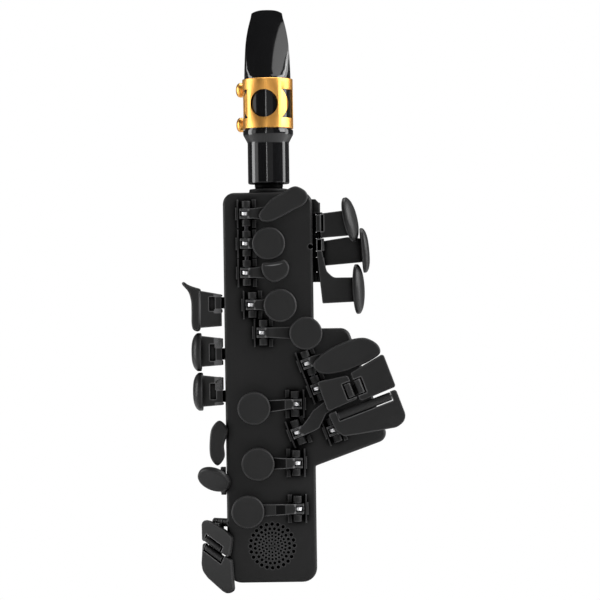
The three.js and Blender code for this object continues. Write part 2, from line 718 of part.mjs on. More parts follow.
const mouthCuts = [
  tableCut,
  aboveArc,
  upright(mouthBoreRadius, mouth.foot - overrun, mouth.boreTop),
  upright(mouth.chamber, mouth.boreTop - overrun, mouth.chamberTop),
  prism(windowOutline, -mouth.windowHalf, mouth.windowHalf, alongX),
];
add("mouthpiece", cut(mouthOuter, ...mouthCuts), gloss, neckGroup);

const reedFace = mouth.tableDepth + reed.gap;
const reedLayer = (half, thickness, z) => ({
  outline: [
    flat(-half, reedFace),
    flat(half, reedFace),
    flat(half - thickness / 2, reedFace + thickness),
    flat(thickness / 2 - half, reedFace + thickness),
  ],
  at: z,
});
const reedLayers = [
  reedLayer(reed.footHalf, reed.heel, reed.foot),
  reedLayer((reed.footHalf + reed.tipHalf) / 2, reed.heel, reed.scrape),
  reedLayer(reed.tipHalf, reed.tipThickness, mouth.tip - reed.gap),
];
add("reed", cut(loft(reedLayers, alongZ), placed(aboveArc, { z: -reed.gap })), cane, neckGroup);

// Ligature: a metal band with a ring in front, two side windows and two screw lugs behind
const bandFoot = mouth.seatFoot + clearance;
const bandTop = mouth.seatTop - ligature.edge;
const bandInner = seatRadius + clearance;
const bandOuter = bandInner + ligature.wall;
const bandBack = reedFace + reed.heel + ligature.ease;
const backCurveShare = 0.7;
const squared = (halfX, front, back) =>
  unitOval.map((p) => {
    if (p.y < 0) return flat(p.x * halfX, p.y * front);
    return flat(Math.sign(p.x) * Math.abs(p.x) ** backCurveShare * halfX, p.y ** backCurveShare * back);
  });
const band = cut(
  prism(squared(bandOuter, bandOuter, bandBack + ligature.wall), bandFoot, bandTop, alongZ),
  prism(squared(bandInner, bandInner, bandBack), bandFoot - overrun, bandTop + overrun, alongZ),
);
const ringMiddle = (bandFoot + ligature.railFoot + bandTop - ligature.railTop) / 2;
const throughFront = (radius, back) =>
  barrel(radius, point(0, -behind - overrun, ringMiddle), point(0, back, ringMiddle), counts.round);
const sideWindows = [bandFoot + ligature.railFoot, bandTop - ligature.railTop];
const turnedRound = (body) => placed(body, { turnZ: angle(ligature.turn) });
const windows = cut(
  block([-behind, behind], [-behind, ligature.windowBack], sideWindows),
  throughFront(ligature.ringRadius, ligature.windowBack + overrun),
);
const lugFoot = bandBack + ligature.wall / 2;
const lugEnd = bandBack + ligature.wall + ligature.lugDepth;
const screwY = bandBack + ligature.wall + ligature.lugDepth / 2 + clearance;
const screwHeights = { upper: bandTop - screw.fromTop, lower: bandFoot + screw.fromFoot };
const ligatureLugs = Object.values(screwHeights).flatMap((z) =>
  [-1, 1].map((side) =>
    block(
      span(side, ligature.lugGap / 2, ligature.lugGap / 2 + ligature.lugWidth),
      [lugFoot, lugEnd],
      [z - ligature.lugHeight / 2, z + ligature.lugHeight / 2],
    ),
  ),
);
const screwBores = Object.values(screwHeights).map((z) =>
  barrel(screw.shank + clearance, point(-behind, screwY, z), point(behind, screwY, z), counts.bore),
);
const split = block(
  [-ligature.lugGap / 2, ligature.lugGap / 2],
  [mouth.tableDepth, behind],
  [bandFoot - overrun, bandTop + overrun],
);
const bandCuts = [turnedRound(windows), turnedRound(throughFront(ligature.holeRadius, 0)), split, ...screwBores];
add("ligature", cut(join(band, ...ligatureLugs), ...bandCuts), gold, neckGroup);
const screwDomeShares = [[1, 0], [1, 0.5], [0.8, 0.85], [0.4, 1]];
const screwEnd = -bandOuter - screw.tail;
const screwProfile = [
  [0, screwEnd],
  [screw.shank, screwEnd],
  [screw.shank, 0],
  ...screwDomeShares.map(([reach, rise]) => [reach * screw.headRadius, rise * screw.headLength]),
  [0, screw.headLength],
];
for (const [name, z] of Object.entries(screwHeights)) {
  const body = placed(turned(screwProfile, counts.barrel), { turnY: -Math.PI / 2 });
  add(`ligature_screw_${name}`, body, gold, neckGroup, { x: -bandOuter, y: screwY, z });
}

// A key hub about its own axis, round below and flat on top, and the cuts for rod and spring
const hubHalf = hinge.hubLength / 2;
const hubOutline = (side) => [
  ...halfRound(hinge.hub, 1),
  flat(side > 0 ? hinge.capRight : hinge.capLeft, 0),
  flat(side > 0 ? hinge.capRight : hinge.capLeft, up(hinge.capTop)),
  flat(side > 0 ? -hinge.capLeft : -hinge.capRight, up(hinge.capTop)),
  flat(side > 0 ? -hinge.capLeft : -hinge.capRight, 0),
];
const hub = (side) => prism(hubOutline(side), -hubHalf, hubHalf, alongZ);
const hubCuts = (side) => [
  barrel(boreRadius, point(0, 0, -hubHalf - overrun), point(0, 0, hubHalf + overrun), counts.bore),
  block(
    span(side, -hinge.slotLeft, hinge.capRight),
    [up(hinge.slotTop), hinge.hub + overrun],
    [-hinge.slotLength / 2, hinge.slotLength / 2],
  ),
];

// The arm of a front key runs level from its hub and, where it is long, steps down to the touch.
function keyArm(side, reach, drop) {
  const at = (x, lift) => {
    const along = Math.max(0, x - arm.rootX) / (reach - arm.rootX);
    const half = THREE.MathUtils.lerp(arm.rootHalf, arm.endHalf, along);
    const centre = drop * along;
    return { x: side * x, y: up(lift), low: centre - half, high: centre + half };
  };
  const start = [at(arm.startX, arm.startLift), at(arm.rootX, arm.rootLift)];
  const stepped = reach > slope.start + slope.run + arm.endHalf;
  const rest = stepped
    ? [at(slope.start, arm.rootLift), at(slope.start + slope.run, slope.lift), at(reach, slope.lift)]
    : [at(reach, arm.rootLift)];
  const stemFoot = stepped ? slope.lift : arm.rootLift;
  const stem = barrel(
    pearl.stem,
    point(side * reach, up(stemFoot), drop),
    point(side * reach, up(pearl.bottom + pearl.thickness / 2), drop),
    counts.bore,
  );
  return [ribbon([...start, ...rest], arm.thickness), stem];
}

function pearlKey({ side, reach, drop }) {
  const face = touch(oval(pearl.radius, pearl.radius), pearl.thickness);
  const top = placed(face, { x: side * reach, y: up(pearl.bottom), z: drop });
  return cut(join(hub(side), ...keyArm(side, reach, drop), top), ...hubCuts(side));
}

// A paddle key has a touch of its own outline, given from the hinge, and an arm that ends beneath it.
function paddleKey(side, outline, reach, drop) {
  const top = placed(touch(outline, paddle.thickness), { y: up(paddle.bottom) });
  return cut(join(hub(side), ...keyArm(side, reach, drop), top), ...hubCuts(side));
}

const frontFPad = { x: 6.7, z: -4.6, width: 25.7, height: 18.3 };
frontFPad.shares = [
  [0, 0.18], [0.07, 0.02], [0.22, 0], [0.48, 0.15], [0.72, 0.33], [0.93, 0.49], [1, 0.69],
  [0.96, 0.85], [0.77, 1], [0.66, 0.97], [0.49, 0.82], [0.28, 0.66], [0.13, 0.46],
];
const bisPad = { x: 7.8, z: -5.2, width: 14.3, height: 11.6 };
bisPad.shares = [
  [0, 0.64], [0.11, 0.26], [0.44, 0], [0.91, 0.29], [1, 0.71], [0.84, 1], [0.58, 0.94], [0.4, 0.9], [0.05, 0.87],
];
const atHinge = ({ x, z }) => ({ x, y: axisY, z });
const frontFArm = { reach: 12, drop: 0 };
const bisArm = { reach: 13, drop: 0.4 };
const frontFSolid = paddleKey(1, smooth(frontFPad), frontFArm.reach, frontFArm.drop);
add("front_f_key", frontFSolid, keyBlack, group, atHinge(frontKeys.front_f));
add("bis_key", paddleKey(1, smooth(bisPad), bisArm.reach, bisArm.drop), keyBlack, group, atHinge(frontKeys.bis));
for (const note of ["b", "a", "g", "f", "e", "d"])
  add(`${note}_key`, pearlKey(frontKeys[note]), keyBlack, group, atHinge(frontKeys[note]));

// Hinge rods: one for the three upper keys and one for each other front key
const rodBetween = (low, high) => barrel(hinge.rod, point(0, 0, low), point(0, 0, high), counts.bore);
const stackMiddle = frontKeys.b;
const stackHigh = frontKeys.front_f.z - stackMiddle.z + postFar;
const stackLow = frontKeys.bis.z - stackMiddle.z - postFar;
add("upper_stack_rod", rodBetween(stackLow, stackHigh), rodBlack, group, atHinge(stackMiddle));
for (const note of ["a", "g", "f", "e", "d"])
  add(`${note}_rod`, rodBetween(-postFar, postFar), rodBlack, group, atHinge(frontKeys[note]));

// A plate with rounded corners given as shares of its length and width, its back at y = 0.
const plateCorners = ({ x, z, length, width, shares }) =>
  shares.map(([across, along, blunt]) => ({
    at: flat(x + across * length, z + along * width),
    radius: blunt * plate.corner,
  }));
const plateOutline = (spec) => rounded(plateCorners(spec));
function plateSolid(spec, thickness = plate.thickness) {
  const layer = (inset, at) => ({ outline: rounded(plateCorners(spec), inset), at });
  return loft([layer(0, 0), layer(0, plate.rim - thickness), layer(plate.rim, -thickness)], alongY);
}

// A roller sunk into a plate: the notch, the two pin holes and the roller, turned by its own angle.
function rollerNotch({ radius, length, open }) {
  const wide = radius + axle.gap;
  const half = length / 2 + axle.gap;
  const notch = block([-half, half], [-behind, behind], span(open, -wide, wide + overrun));
  const pinHalf = half + axle.length + axle.gap;
  const holes = barrel(axle.radius + clearance, point(-pinHalf, 0, 0), point(pinHalf, 0, 0), counts.hole);
  return join(notch, holes);
}
function rollerSolid({ radius, length }) {
  const half = length / 2;
  const pinHalf = half + axle.gap + axle.length;
  return join(
    barrel(radius, point(-half, 0, 0), point(half, 0, 0), counts.barrel),
    barrel(axle.radius, point(-pinHalf, 0, 0), point(pinHalf, 0, 0), counts.hole),
  );
}
const rollerPlace = ({ x, z, turnY }, thickness) => ({ x, y: -thickness / 2, z, turnY });

// Little-finger table: G sharp paddle, C sharp and low B plates with rollers, B flat plate
const tableGroup = new THREE.Group();
tableGroup.position.set(table.x, axisY, table.z);
tableGroup.rotation.y = -table.lean;
group.add(tableGroup);

const gSharpPad = { x: 2.3, z: -10.8, width: 35, height: 14.4 };
gSharpPad.shares = [
  [0, 0.65], [0, 0.4], [0.12, 0.15], [0.33, 0.02], [0.58, -0.01], [0.82, 0.03], [0.99, 0.17],
  [1, 0.46], [0.875, 0.84], [0.72, 0.975], [0.55, 1], [0.35, 0.97], [0.17, 0.88],
];
const gSharpArm = { reach: 12, drop: -2 };
add("g_sharp_key", paddleKey(1, smooth(gSharpPad), gSharpArm.reach, gSharpArm.drop), keyBlack, tableGroup);

// Each table plate is drawn from its own hinge; its roller's place is measured from there too.
const quarter = Math.PI / 2;
const cSharpPlate = { x: 0.5, z: -13.1, length: 16.8, width: 16.5 };
cSharpPlate.shares = [[0.01, 1, 1], [0, 0, 1], [1, 0.04, 1], [0.97, 0.85, 1]];
const cSharpRoller = { x: 14.9, z: -6.7, turnY: quarter, radius: 2.1, length: 7.6, open: 1 };
const lowBPlate = { x: 35.9, z: 3.6, length: 20.2, width: 19 };
lowBPlate.shares = [[0.03, 0.83, 1], [0, 0, 1], [1, 0.03, 1], [1, 1, 1]];
const lowBRoller = { x: 38.3, z: 11.2, turnY: quarter, radius: 2.1, length: 7.6, open: -1 };
const bFlatPlate = { x: -0.3, z: -10.2, length: 38, width: 19.4 };
bFlatPlate.shares = [
  [0.01, 1, 1], [0.03, 0.5, 1], [0.1, 0.29, 2], [0.28, 0.21, 3], [0.82, 0, 4], [1, 0.09, 4], [1, 0.96, 1],
];
const bFlatRoller = { x: 19.3, z: 6.1, turnY: 0, radius: 2.2, length: 29.6, open: 1 };

function plateKey(spec, rollerSpec, riser, carrier) {
  const turnedNotch = placed(rollerNotch(rollerSpec), rollerPlace(rollerSpec, plate.thickness));
  const top = placed(cut(plateSolid(spec), turnedNotch), { y: up(plate.bottom) });
  return cut(join(hub(1), riser, ...carrier, top), ...hubCuts(1));
}
const riserTop = up(plate.bottom + plate.thickness / 2);
const rootRiser = block([plate.riserFrom, plate.riserTo], [riserTop, up(hinge.rise)], [-hubHalf, hubHalf]);

function addRoller(name, rollerSpec, parent, origin, base, thickness) {
  const mesh = add(name, rollerSolid(rollerSpec), keyBlack, parent);
  const place = rollerPlace(rollerSpec, thickness);
  mesh.position.set(origin.x + place.x, base + place.y, origin.z + place.z);
  mesh.rotation.y = place.turnY;
  return mesh;
}

add("c_sharp_key", plateKey(cSharpPlate, cSharpRoller, rootRiser, []), keyBlack, tableGroup, tableHinges.c_sharp);
addRoller("c_sharp_roller", cSharpRoller, tableGroup, tableHinges.c_sharp, up(plate.bottom), plate.thickness);
add("b_flat_key", plateKey(bFlatPlate, bFlatRoller, rootRiser, []), keyBlack, tableGroup, tableHinges.b_flat);
addRoller("b_flat_roller", bFlatRoller, tableGroup, tableHinges.b_flat, up(plate.bottom), plate.thickness);

// The low B arm leaves its own hub, spreads, and passes beneath the C sharp plate to its own plate.
const lowBArm = { lift: 5.4, hubX: 1, fanX: 8, elbowX: 11, crossX: 17, farX: 45.2, riserX: 41 };
const lowBSpans = { hub: [-2.6, 2.6], fan: [-2.3, 5.4], elbow: [-1.9, 7.8], cross: [3.8, 9.6], far: [9, 14.9] };
const lowBStation = (x, lift, [low, high]) => ({ x, y: up(lift), low, high });
const lowBRibbon = ribbon(
  [
    lowBStation(lowBArm.hubX, arm.startLift, lowBSpans.hub),
    lowBStation(arm.rootX, lowBArm.lift, lowBSpans.hub),
    lowBStation(lowBArm.fanX, lowBArm.lift, lowBSpans.fan),
    lowBStation(lowBArm.elbowX, lowBArm.lift, lowBSpans.elbow),
    lowBStation(lowBArm.crossX, lowBArm.lift, lowBSpans.cross),
    lowBStation(lowBArm.farX, lowBArm.lift, lowBSpans.far),
  ],
  arm.thickness,
);
const lowBRiser = block([lowBArm.riserX, lowBArm.farX], [riserTop, up(lowBArm.lift)], lowBSpans.far);
add("low_b_key", plateKey(lowBPlate, lowBRoller, lowBRiser, [lowBRibbon]), keyBlack, tableGroup, tableHinges.low_b);
addRoller("low_b_roller", lowBRoller, tableGroup, tableHinges.low_b, up(plate.bottom), plate.thickness);
add("table_rod_upper", rodBetween(tableHinges.c_sharp.z - postFar, postFar), rodBlack, tableGroup);
add("table_rod_lower", rodBetween(-postFar, postFar), rodBlack, tableGroup, tableHinges.b_flat);
add("low_b_rod", rodBetween(-postFar, postFar), rodBlack, tableGroup, tableHinges.low_b);

// Side keys: an L-shaped arm, a pin through the lug and a domed disc that faces left
const pinThrough = (low, high) => barrel(hinge.rod, point(0, 0, low), point(0, 0, high), counts.bore);
function forkedHub(low, high) {
  const cheek = ([from, to]) =>
    join(
      barrel(lug.radius, point(0, 0, from), point(0, 0, to)),
      block([-lug.radius, sideArm.right], [-sideArm.front, 0], [from, to]),
    );
  const inner = lug.half + clearance;
  return [cheek([low, -inner]), cheek([inner, high]), pinThrough(low, high)];
}
function sideArmSolid({ low, high, pocketSpan, left = sideArm.left, flare = sideArm.flareHigh }) {
  const y = sideArm.thickness / 2 - sideArm.front;
  const foot = low - sideArm.flareLow;
  const top = high + flare;
  const face = ribbon([{ x: sideArm.right, y, low, high }, { x: -left, y, low: foot, high: top }], sideArm.thickness);
  const back = block([-left, -left + sideArm.wall], [-sideArm.front, sideArm.flange], [foot, top]);
  const opening = block([pocket.left, pocket.right], [-behind, pocket.depth - sideArm.front], pocketSpan);
  return [cut(join(face, back), opening)];
}
const faceLeft = { turnZ: -quarter };
for (const [name, key] of Object.entries(sideKeys)) {
  const { z, low, high, discZ } = key;
  const disc = touch(oval(sideDisc.radius, sideDisc.radius), sideDisc.thickness, domeShares);
  const top = placed(disc, { ...faceLeft, x: clearance - key.left, y: sideDisc.y - sideArm.front, z: discZ });
  const body = join(...forkedHub(low, high), ...sideArmSolid(key), top);
  add(name, body, keyBlack, group, { x: -sideX - lug.x, y: lug.y, z });
}

// The upper side key ends in a spoon that flares outwards at its top.
const spoon = { x: -19, z: -14.9, width: 9.3, height: 26.2, front: -4.4, back: 9.6, soft: 0.9 };
const spoonShares = [
  [1, 0.08], [0.9, 0], [0.62, 0.03], [0.53, 0.12], [0.52, 0.42], [0.5, 0.62], [0.35, 0.8],
  [0, 0.96], [0.05, 1], [0.3, 0.945], [0.6, 0.9], [0.92, 0.865], [1, 0.85],
];
const spoonEndShare = 0.9;
const spoonOutline = spoonShares.map(([across, along]) =>
  flat(spoon.x + across * spoon.width, spoon.z + along * spoon.height),
);
const spoonEnd = scaledAbout(spoonOutline, spoonEndShare);
const spoonSolid = loft(
  [
    { outline: spoonEnd, at: spoon.front },
    { outline: spoonOutline, at: spoon.front + spoon.soft },
    { outline: spoonOutline, at: spoon.back - spoon.soft },
    { outline: spoonEnd, at: spoon.back },
  ],
  alongY,
);
const sideEHub = forkedHub(-lug.half - sideArm.wall - clearance, lug.half + clearance + sideE.cheek);
const sideEBody = join(...sideEHub, ...sideArmSolid(sideE), spoonSolid);
add("side_e_key", sideEBody, keyBlack, group, { x: -sideX - lug.x, y: lug.y, z: sideE.z });

// Palm keys: hubs on the shared rod, flat arms and leaning oval touches that face right
const palmDisc = { half: 8, thickness: 4.2 };
const palmArmThickness = 1.8;
const palmKeys = {
  palm_d_key: { disc: { x: 15.4, y: -5.5, z: 32.5 }, half: 11.8, lean: 12, face: 70, armY: -3.4 },
  palm_f_key: { disc: { x: 19.1, y: -3.6, z: -4 }, half: 13.1, lean: 1.8, face: 76, armY: -4.4 },
  palm_e_flat_key: { disc: { x: 22.4, y: -1.4, z: 16.3 }, half: 11.8, lean: 4.7, face: 90, armY: 3.9 },
};
const palmArms = {
  palm_d_key: { x: 1, z: 22.6, length: 15.4, width: 15.3 },
  palm_f_key: { x: -1.1, z: -11.3, length: 20.3, width: 33.9 },
  palm_e_flat_key: { x: 0, z: 5.7, length: 23.4, width: 17.6 },
};
palmArms.palm_d_key.shares = [[0, 0.04, 0.5], [1, 0.11, 1], [1, 1, 1], [0, 0.88, 1]];
palmArms.palm_f_key.shares = [
  [0, 1, 0.5], [0, 0.76, 1], [0.13, 0, 0.5], [1, 0.02, 1], [1, 0.4, 1], [0.42, 0.4, 3], [0.25, 0.5, 3],
  [0.13, 0.82, 1], [0.13, 1, 0.5],
];
palmArms.palm_e_flat_key.shares = [
  [0, 0, 0.5], [0.15, 0.17, 1], [1, 0.26, 1], [1, 0.97, 1], [0.65, 1.02, 1], [0, 0.89, 0.5],
];
for (const [name, { disc, half, lean, face, armY }] of Object.entries(palmKeys)) {
  const { low, high } = palmHubs[name];
  const touchSolid = touch(oval(palmDisc.half, half), palmDisc.thickness, domeShares);
  const top = placed(touchSolid, { ...disc, turnZ: angle(face), turnX: angle(-lean) });
  const armFront = armY - palmArmThickness / 2;
  const armBack = armY + palmArmThickness / 2;
  const armPlate = prism(plateOutline(palmArms[name]), armFront, armBack, alongY);
  const hubRound = barrel(palm.hub, point(0, 0, low), point(0, 0, high));
  const riserDepth = armY > 0 ? [0, armBack] : [armFront, 0];
  const riser = block([armY > 0 ? 0 : -palm.hub / 2, palm.hub], riserDepth, [low, high]);
  const bore = barrel(boreRadius, point(0, 0, low - overrun), point(0, 0, high + overrun), counts.bore);
  add(name, cut(join(hubRound, riser, armPlate, top), bore), keyBlack, group, palmOrigin);
}
const palmRod = barrel(hinge.rod, point(0, 0, 0), point(0, 0, palm.height), counts.bore);
add("palm_rod", palmRod, rodBlack, group, palmOrigin);

// A key that swings on a short axle of the left wall: its hub about the X axis, out from the wall.
function wallHub(from, length) {
  const near = -from;
  const far = -from - length;
  const body = barrel(stub.hub, point(far, 0, 0), point(near, 0, 0));
  const bore = barrel(stub.radius + clearance, point(far - overrun, 0, 0), point(near + overrun, 0, 0), counts.bore);
  return { body, bore };
}
const wallKey = (name, at, body) => add(name, body, keyBlack, group, { x: -sideX, y: at.y, z: at.z });

// High F sharp: a bean-shaped touch beside the body's front edge
const beanPad = { x: -8.4, z: -19, width: 9.5, height: 23.6 };
beanPad.shares = [[0.55, 1], [0.14, 0.85], [0, 0.59], [0.05, 0.16], [0.41, 0], [0.8, 0.18], [0.79, 0.45], [1, 0.8]];
const bean = { back: -4.6, thickness: 3, armHigh: 2, armLow: -2.4 };
const beanHub = wallHub(stub.gap, stubs.bean.length - stub.gap - clearance);
const beanArm = block(
  [clearance - stubs.bean.length, -stub.gap],
  [bean.back - bean.thickness / 2, 0],
  [bean.armLow, bean.armHigh],
);
const beanTop = placed(touch(smooth(beanPad), bean.thickness), { y: bean.back });
wallKey("high_f_sharp_key", stubs.bean, cut(join(beanHub.body, beanArm, beanTop), beanHub.bore));

// F sharp trill: a disc that looks down and to the left, on a side lever with a slanted stem
const trill = { x: -5.9, y: -14, z: 8, radius: 8.9, thickness: 3, stem: 1.6, faceX: angle(46), faceZ: angle(-25) };
const trillLever = { low: -2.2, elbowY: -5.5, top: 12.8, front: -8.6, back: 2, neck: 8.6 };
const trillHub = wallHub(stub.gap, stubs.trill.length - stub.gap - clearance);
const leverSpan = [clearance - stubs.trill.length, -stub.gap];
const leverOutline = [
  flat(trillLever.back, trillLever.low),
  flat(trillLever.back, 0),
  flat(trillLever.elbowY + trillLever.back, trillLever.top),
  flat(trillLever.front, trillLever.top),
  flat(trillLever.front, trillLever.neck),
  flat(trillLever.elbowY, trillLever.neck),
  flat(trillLever.low, trillLever.low),
];
const lever = prism(leverOutline, ...leverSpan, alongX);
const trillFace = { turnX: trill.faceX, turnZ: trill.faceZ, x: trill.x, y: trill.y, z: trill.z };
const trillTop = placed(touch(oval(trill.radius, trill.radius), trill.thickness), trillFace);
const trillStem = barrel(
  trill.stem,
  point((leverSpan[0] + leverSpan[1]) / 2, trillLever.front + trill.stem, (trillLever.top + trillLever.neck) / 2),
  point(trill.x, trill.y - trill.stem / 2, trill.z),
  counts.bore,
);
wallKey("f_sharp_trill_key", stubs.trill, cut(join(trillHub.body, lever, trillStem, trillTop), trillHub.bore));

// Right little finger: two plates side by side that look to the front left, each with a roller.
// They are drawn about their shared slanted axle, so their hinge is the group's own X axis.
const eFlatPlate = { x: -20, z: -17.9, length: 19.9, width: 19.8 };
eFlatPlate.shares = [
  [0.01, 0.43, 1], [0.89, 0, 1], [1, 0.55, 2], [0.77, 0.73, 5], [0.45, 0.86, 5], [0.27, 0.95, 2], [0, 0.985, 2],
];
const eFlatRoller = { x: -12.4, z: -11.2, turnY: angle(29.3), radius: 1.8, length: 11.4, open: -1 };
const lowCPlate = { x: -20.4, z: -37, length: 20.9, width: 26.8 };
lowCPlate.shares = [
  [0.05, 1, 1], [0, 0.56, 4], [0.04, 0.42, 4], [0.2, 0.29, 5], [0.66, 0.05, 5], [0.82, 0, 3],
  [1, 0.08, 1.6], [0.95, 0.54, 9], [0.93, 0.67, 1],
];
const lowCRoller = { x: -12, z: -16, turnY: angle(29.3), radius: 1.8, length: 12.2, open: 1 };
const lowArms = {
  eFlat: { low: -4.6, high: 0 },
  c: { low: -26.5, high: -21.6, front: -1, back: 2.4 },
};
const lowGroup = new THREE.Group();
lowGroup.position.set(lowOrigin.x, lowOrigin.y, lowOrigin.z);
lowGroup.rotation.z = low.face;
group.add(lowGroup);
function lowKey(spec, rollerSpec, across, reachSpan, carrier) {
  const [outer, inner] = across;
  const notch = placed(rollerNotch(rollerSpec), rollerPlace(rollerSpec, low.thickness));
  const top = placed(cut(plateSolid(spec, low.thickness), notch), { y: low.back });
  const hubRound = barrel(stub.hub, point(outer, 0, 0), point(inner, 0, 0));
  const reach = block(across, [low.back - low.overlap, 0], [reachSpan.low, reachSpan.high]);
  const bore = barrel(stub.radius + clearance, point(outer - overrun, 0, 0), point(inner + overrun, 0, 0), counts.bore);
  return cut(join(hubRound, reach, ...carrier, top), bore);
}
const lowCPost = block(lowHubs.c, [lowArms.c.front, lowArms.c.back], [lowArms.c.low, 0]);
add("e_flat_key", lowKey(eFlatPlate, eFlatRoller, lowHubs.eFlat, lowArms.eFlat, []), keyBlack, lowGroup);
add("low_c_key", lowKey(lowCPlate, lowCRoller, lowHubs.c, lowArms.c, [lowCPost]), keyBlack, lowGroup);
addRoller("e_flat_roller", eFlatRoller, lowGroup, { x: 0, z: 0 }, low.back, low.thickness);
addRoller("low_c_roller", lowCRoller, lowGroup, { x: 0, z: 0 }, low.back, low.thickness);

// Thumb side: octave key, thumb rest, thumb hook and strap ring
const octaveCorners = [
  { at: flat(-octave.width / 2, -octave.length), radius: octave.corner },
  { at: flat(octave.width / 2, -octave.length), radius: octave.corner },
  { at: flat(octave.half, 0), radius: plate.corner },
  { at: flat(-octave.half, 0), radius: plate.corner },
];
const octaveBlade = placed(prism(rounded(octaveCorners), 0, octave.thickness, alongY), { y: octave.rise - octave.hub });
const octaveHub = barrel(octave.hub, point(-octave.half, 0, 0), point(octave.half, 0, 0));
const octavePin = barrel(hinge.rod, point(-octavePinEnd, 0, 0), point(octavePinEnd, 0, 0), counts.bore);
const octaveAt = { y: octaveY, z: octave.z };
add("octave_key", join(octaveHub, octavePin, octaveBlade), keyBlack, group, octaveAt);
const thumbRest = { z: 152, halfWidth: 9, halfHeight: 12, thickness: 3.4 };
const restTouch = touch(oval(thumbRest.halfWidth, thumbRest.halfHeight), thumbRest.thickness, domeShares);
add("thumb_rest", placed(restTouch, { turnZ: Math.PI }), rubber, group, { y: rearY + clearance, z: thumbRest.z });

const hook = { z: 96, width: 16, base: 2.4, plateLow: -13, plateHigh: 9, reach: 22, thickness: 4, lip: 9, inner: 5 };
const hookOutline = [
  flat(0, hook.plateLow),
  flat(hook.base, hook.plateLow),
  flat(hook.base, -hook.inner),
  flat(hook.base + hook.inner, 0),
  flat(hook.reach - hook.thickness - hook.inner, 0),
  flat(hook.reach - hook.thickness, -hook.inner),
  flat(hook.reach - hook.thickness, -hook.lip),
  flat(hook.reach, -hook.lip),
  flat(hook.reach, -hook.inner / 2),
  flat(hook.reach - hook.inner, hook.thickness),
  flat(hook.base + hook.inner, hook.thickness),
  flat(hook.base, hook.plateHigh),
  flat(0, hook.plateHigh),
];
const hookSolid = prism(hookOutline, -hook.width / 2, hook.width / 2, alongX);
add("thumb_hook", hookSolid, shellBlack, group, { y: rearY + clearance, z: hook.z });

const strap = { z: 118, base: 2.4, width: 12, height: 14, ringOuter: 7.5, ringInner: 4.5, thickness: 3.2, reach: 8.2 };
const strapBase = block([-strap.width / 2, strap.width / 2], [0, strap.base], [-strap.height / 2, strap.height / 2]);
const strapDisc = barrel(
  strap.ringOuter,
  point(-strap.thickness / 2, strap.reach, 0),
  point(strap.thickness / 2, strap.reach, 0),
  counts.pad,
);
const strapHole = barrel(
  strap.ringInner,
  point(-strap.thickness, strap.reach, 0),
  point(strap.thickness, strap.reach, 0),
  counts.pad,
);
const strapTrim = block([-strap.thickness, strap.thickness], [-strap.ringOuter, 0], [-strap.ringOuter, strap.ringOuter]);
add("strap_ring", cut(join(strapBase, strapDisc), strapHole, strapTrim), steel, group, { y: rearY + clearance, z: strap.z });

export default group;
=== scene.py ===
"""Looks of a saxophone-shaped wind controller: case, keys, mouthpiece and studio.

Lengths in the classes are millimetres in the part's own frame (+Z up the body, -Y the front).
They become metres where a mesh is made.
"""

import logging
import math
from dataclasses import dataclass, field
from enum import Enum
from typing import Any, Iterable, Sequence

import bmesh
import bpy
from mathutils import Matrix, Vector


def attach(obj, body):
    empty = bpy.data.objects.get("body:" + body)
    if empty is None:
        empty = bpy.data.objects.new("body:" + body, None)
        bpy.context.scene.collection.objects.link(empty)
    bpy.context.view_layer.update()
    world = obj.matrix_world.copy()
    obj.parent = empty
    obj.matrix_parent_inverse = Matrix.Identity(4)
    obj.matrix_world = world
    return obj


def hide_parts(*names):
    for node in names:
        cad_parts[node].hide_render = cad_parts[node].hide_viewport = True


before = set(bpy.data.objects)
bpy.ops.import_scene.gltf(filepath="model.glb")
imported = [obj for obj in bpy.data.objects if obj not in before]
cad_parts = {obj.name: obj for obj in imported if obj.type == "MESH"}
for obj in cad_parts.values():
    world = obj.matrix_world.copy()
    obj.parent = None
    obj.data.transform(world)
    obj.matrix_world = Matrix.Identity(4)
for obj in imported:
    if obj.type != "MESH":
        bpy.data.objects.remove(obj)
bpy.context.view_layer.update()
log = logging.getLogger("wind_controller")
MM = 0.001
# Matt black that is painted into corners and crevices as shade.
PAINTED_SHADE_BLACK = (0.0008, 0.0008, 0.0008)
Pair = tuple[float, float]
Triple = tuple[float, float, float]
Four = tuple[float, float, float, float]
Outline = list[Pair]
Shares = tuple[Pair, ...]
Corners = tuple[Triple, ...]
Colour = Triple
Node = bpy.types.Node
Socket = bpy.types.NodeSocket
Piece = bpy.types.Object
Settings = dict[str, Any]
Sockets = dict[Any, Any]
Places = Sequence[tuple[Vector, Sequence[float]]]


def rows(**items: Any) -> Any:
    """A field of a dataclass that starts as a dict of these items."""
    return field(default_factory=lambda: dict(items))


class Axis(Enum):
    """The direction a flat outline is carried along, and where its two values then lie."""

    X = "x"
    Y = "y"
    Z = "z"

    def at(self, point: Pair, along: float) -> Vector:
        """The point in space of an outline point carried to a place along this axis."""
        a, b = point
        if self is Axis.X:
            return Vector((along, a, b))
        if self is Axis.Y:
            return Vector((a, along, b))
        return Vector((a, b, along))


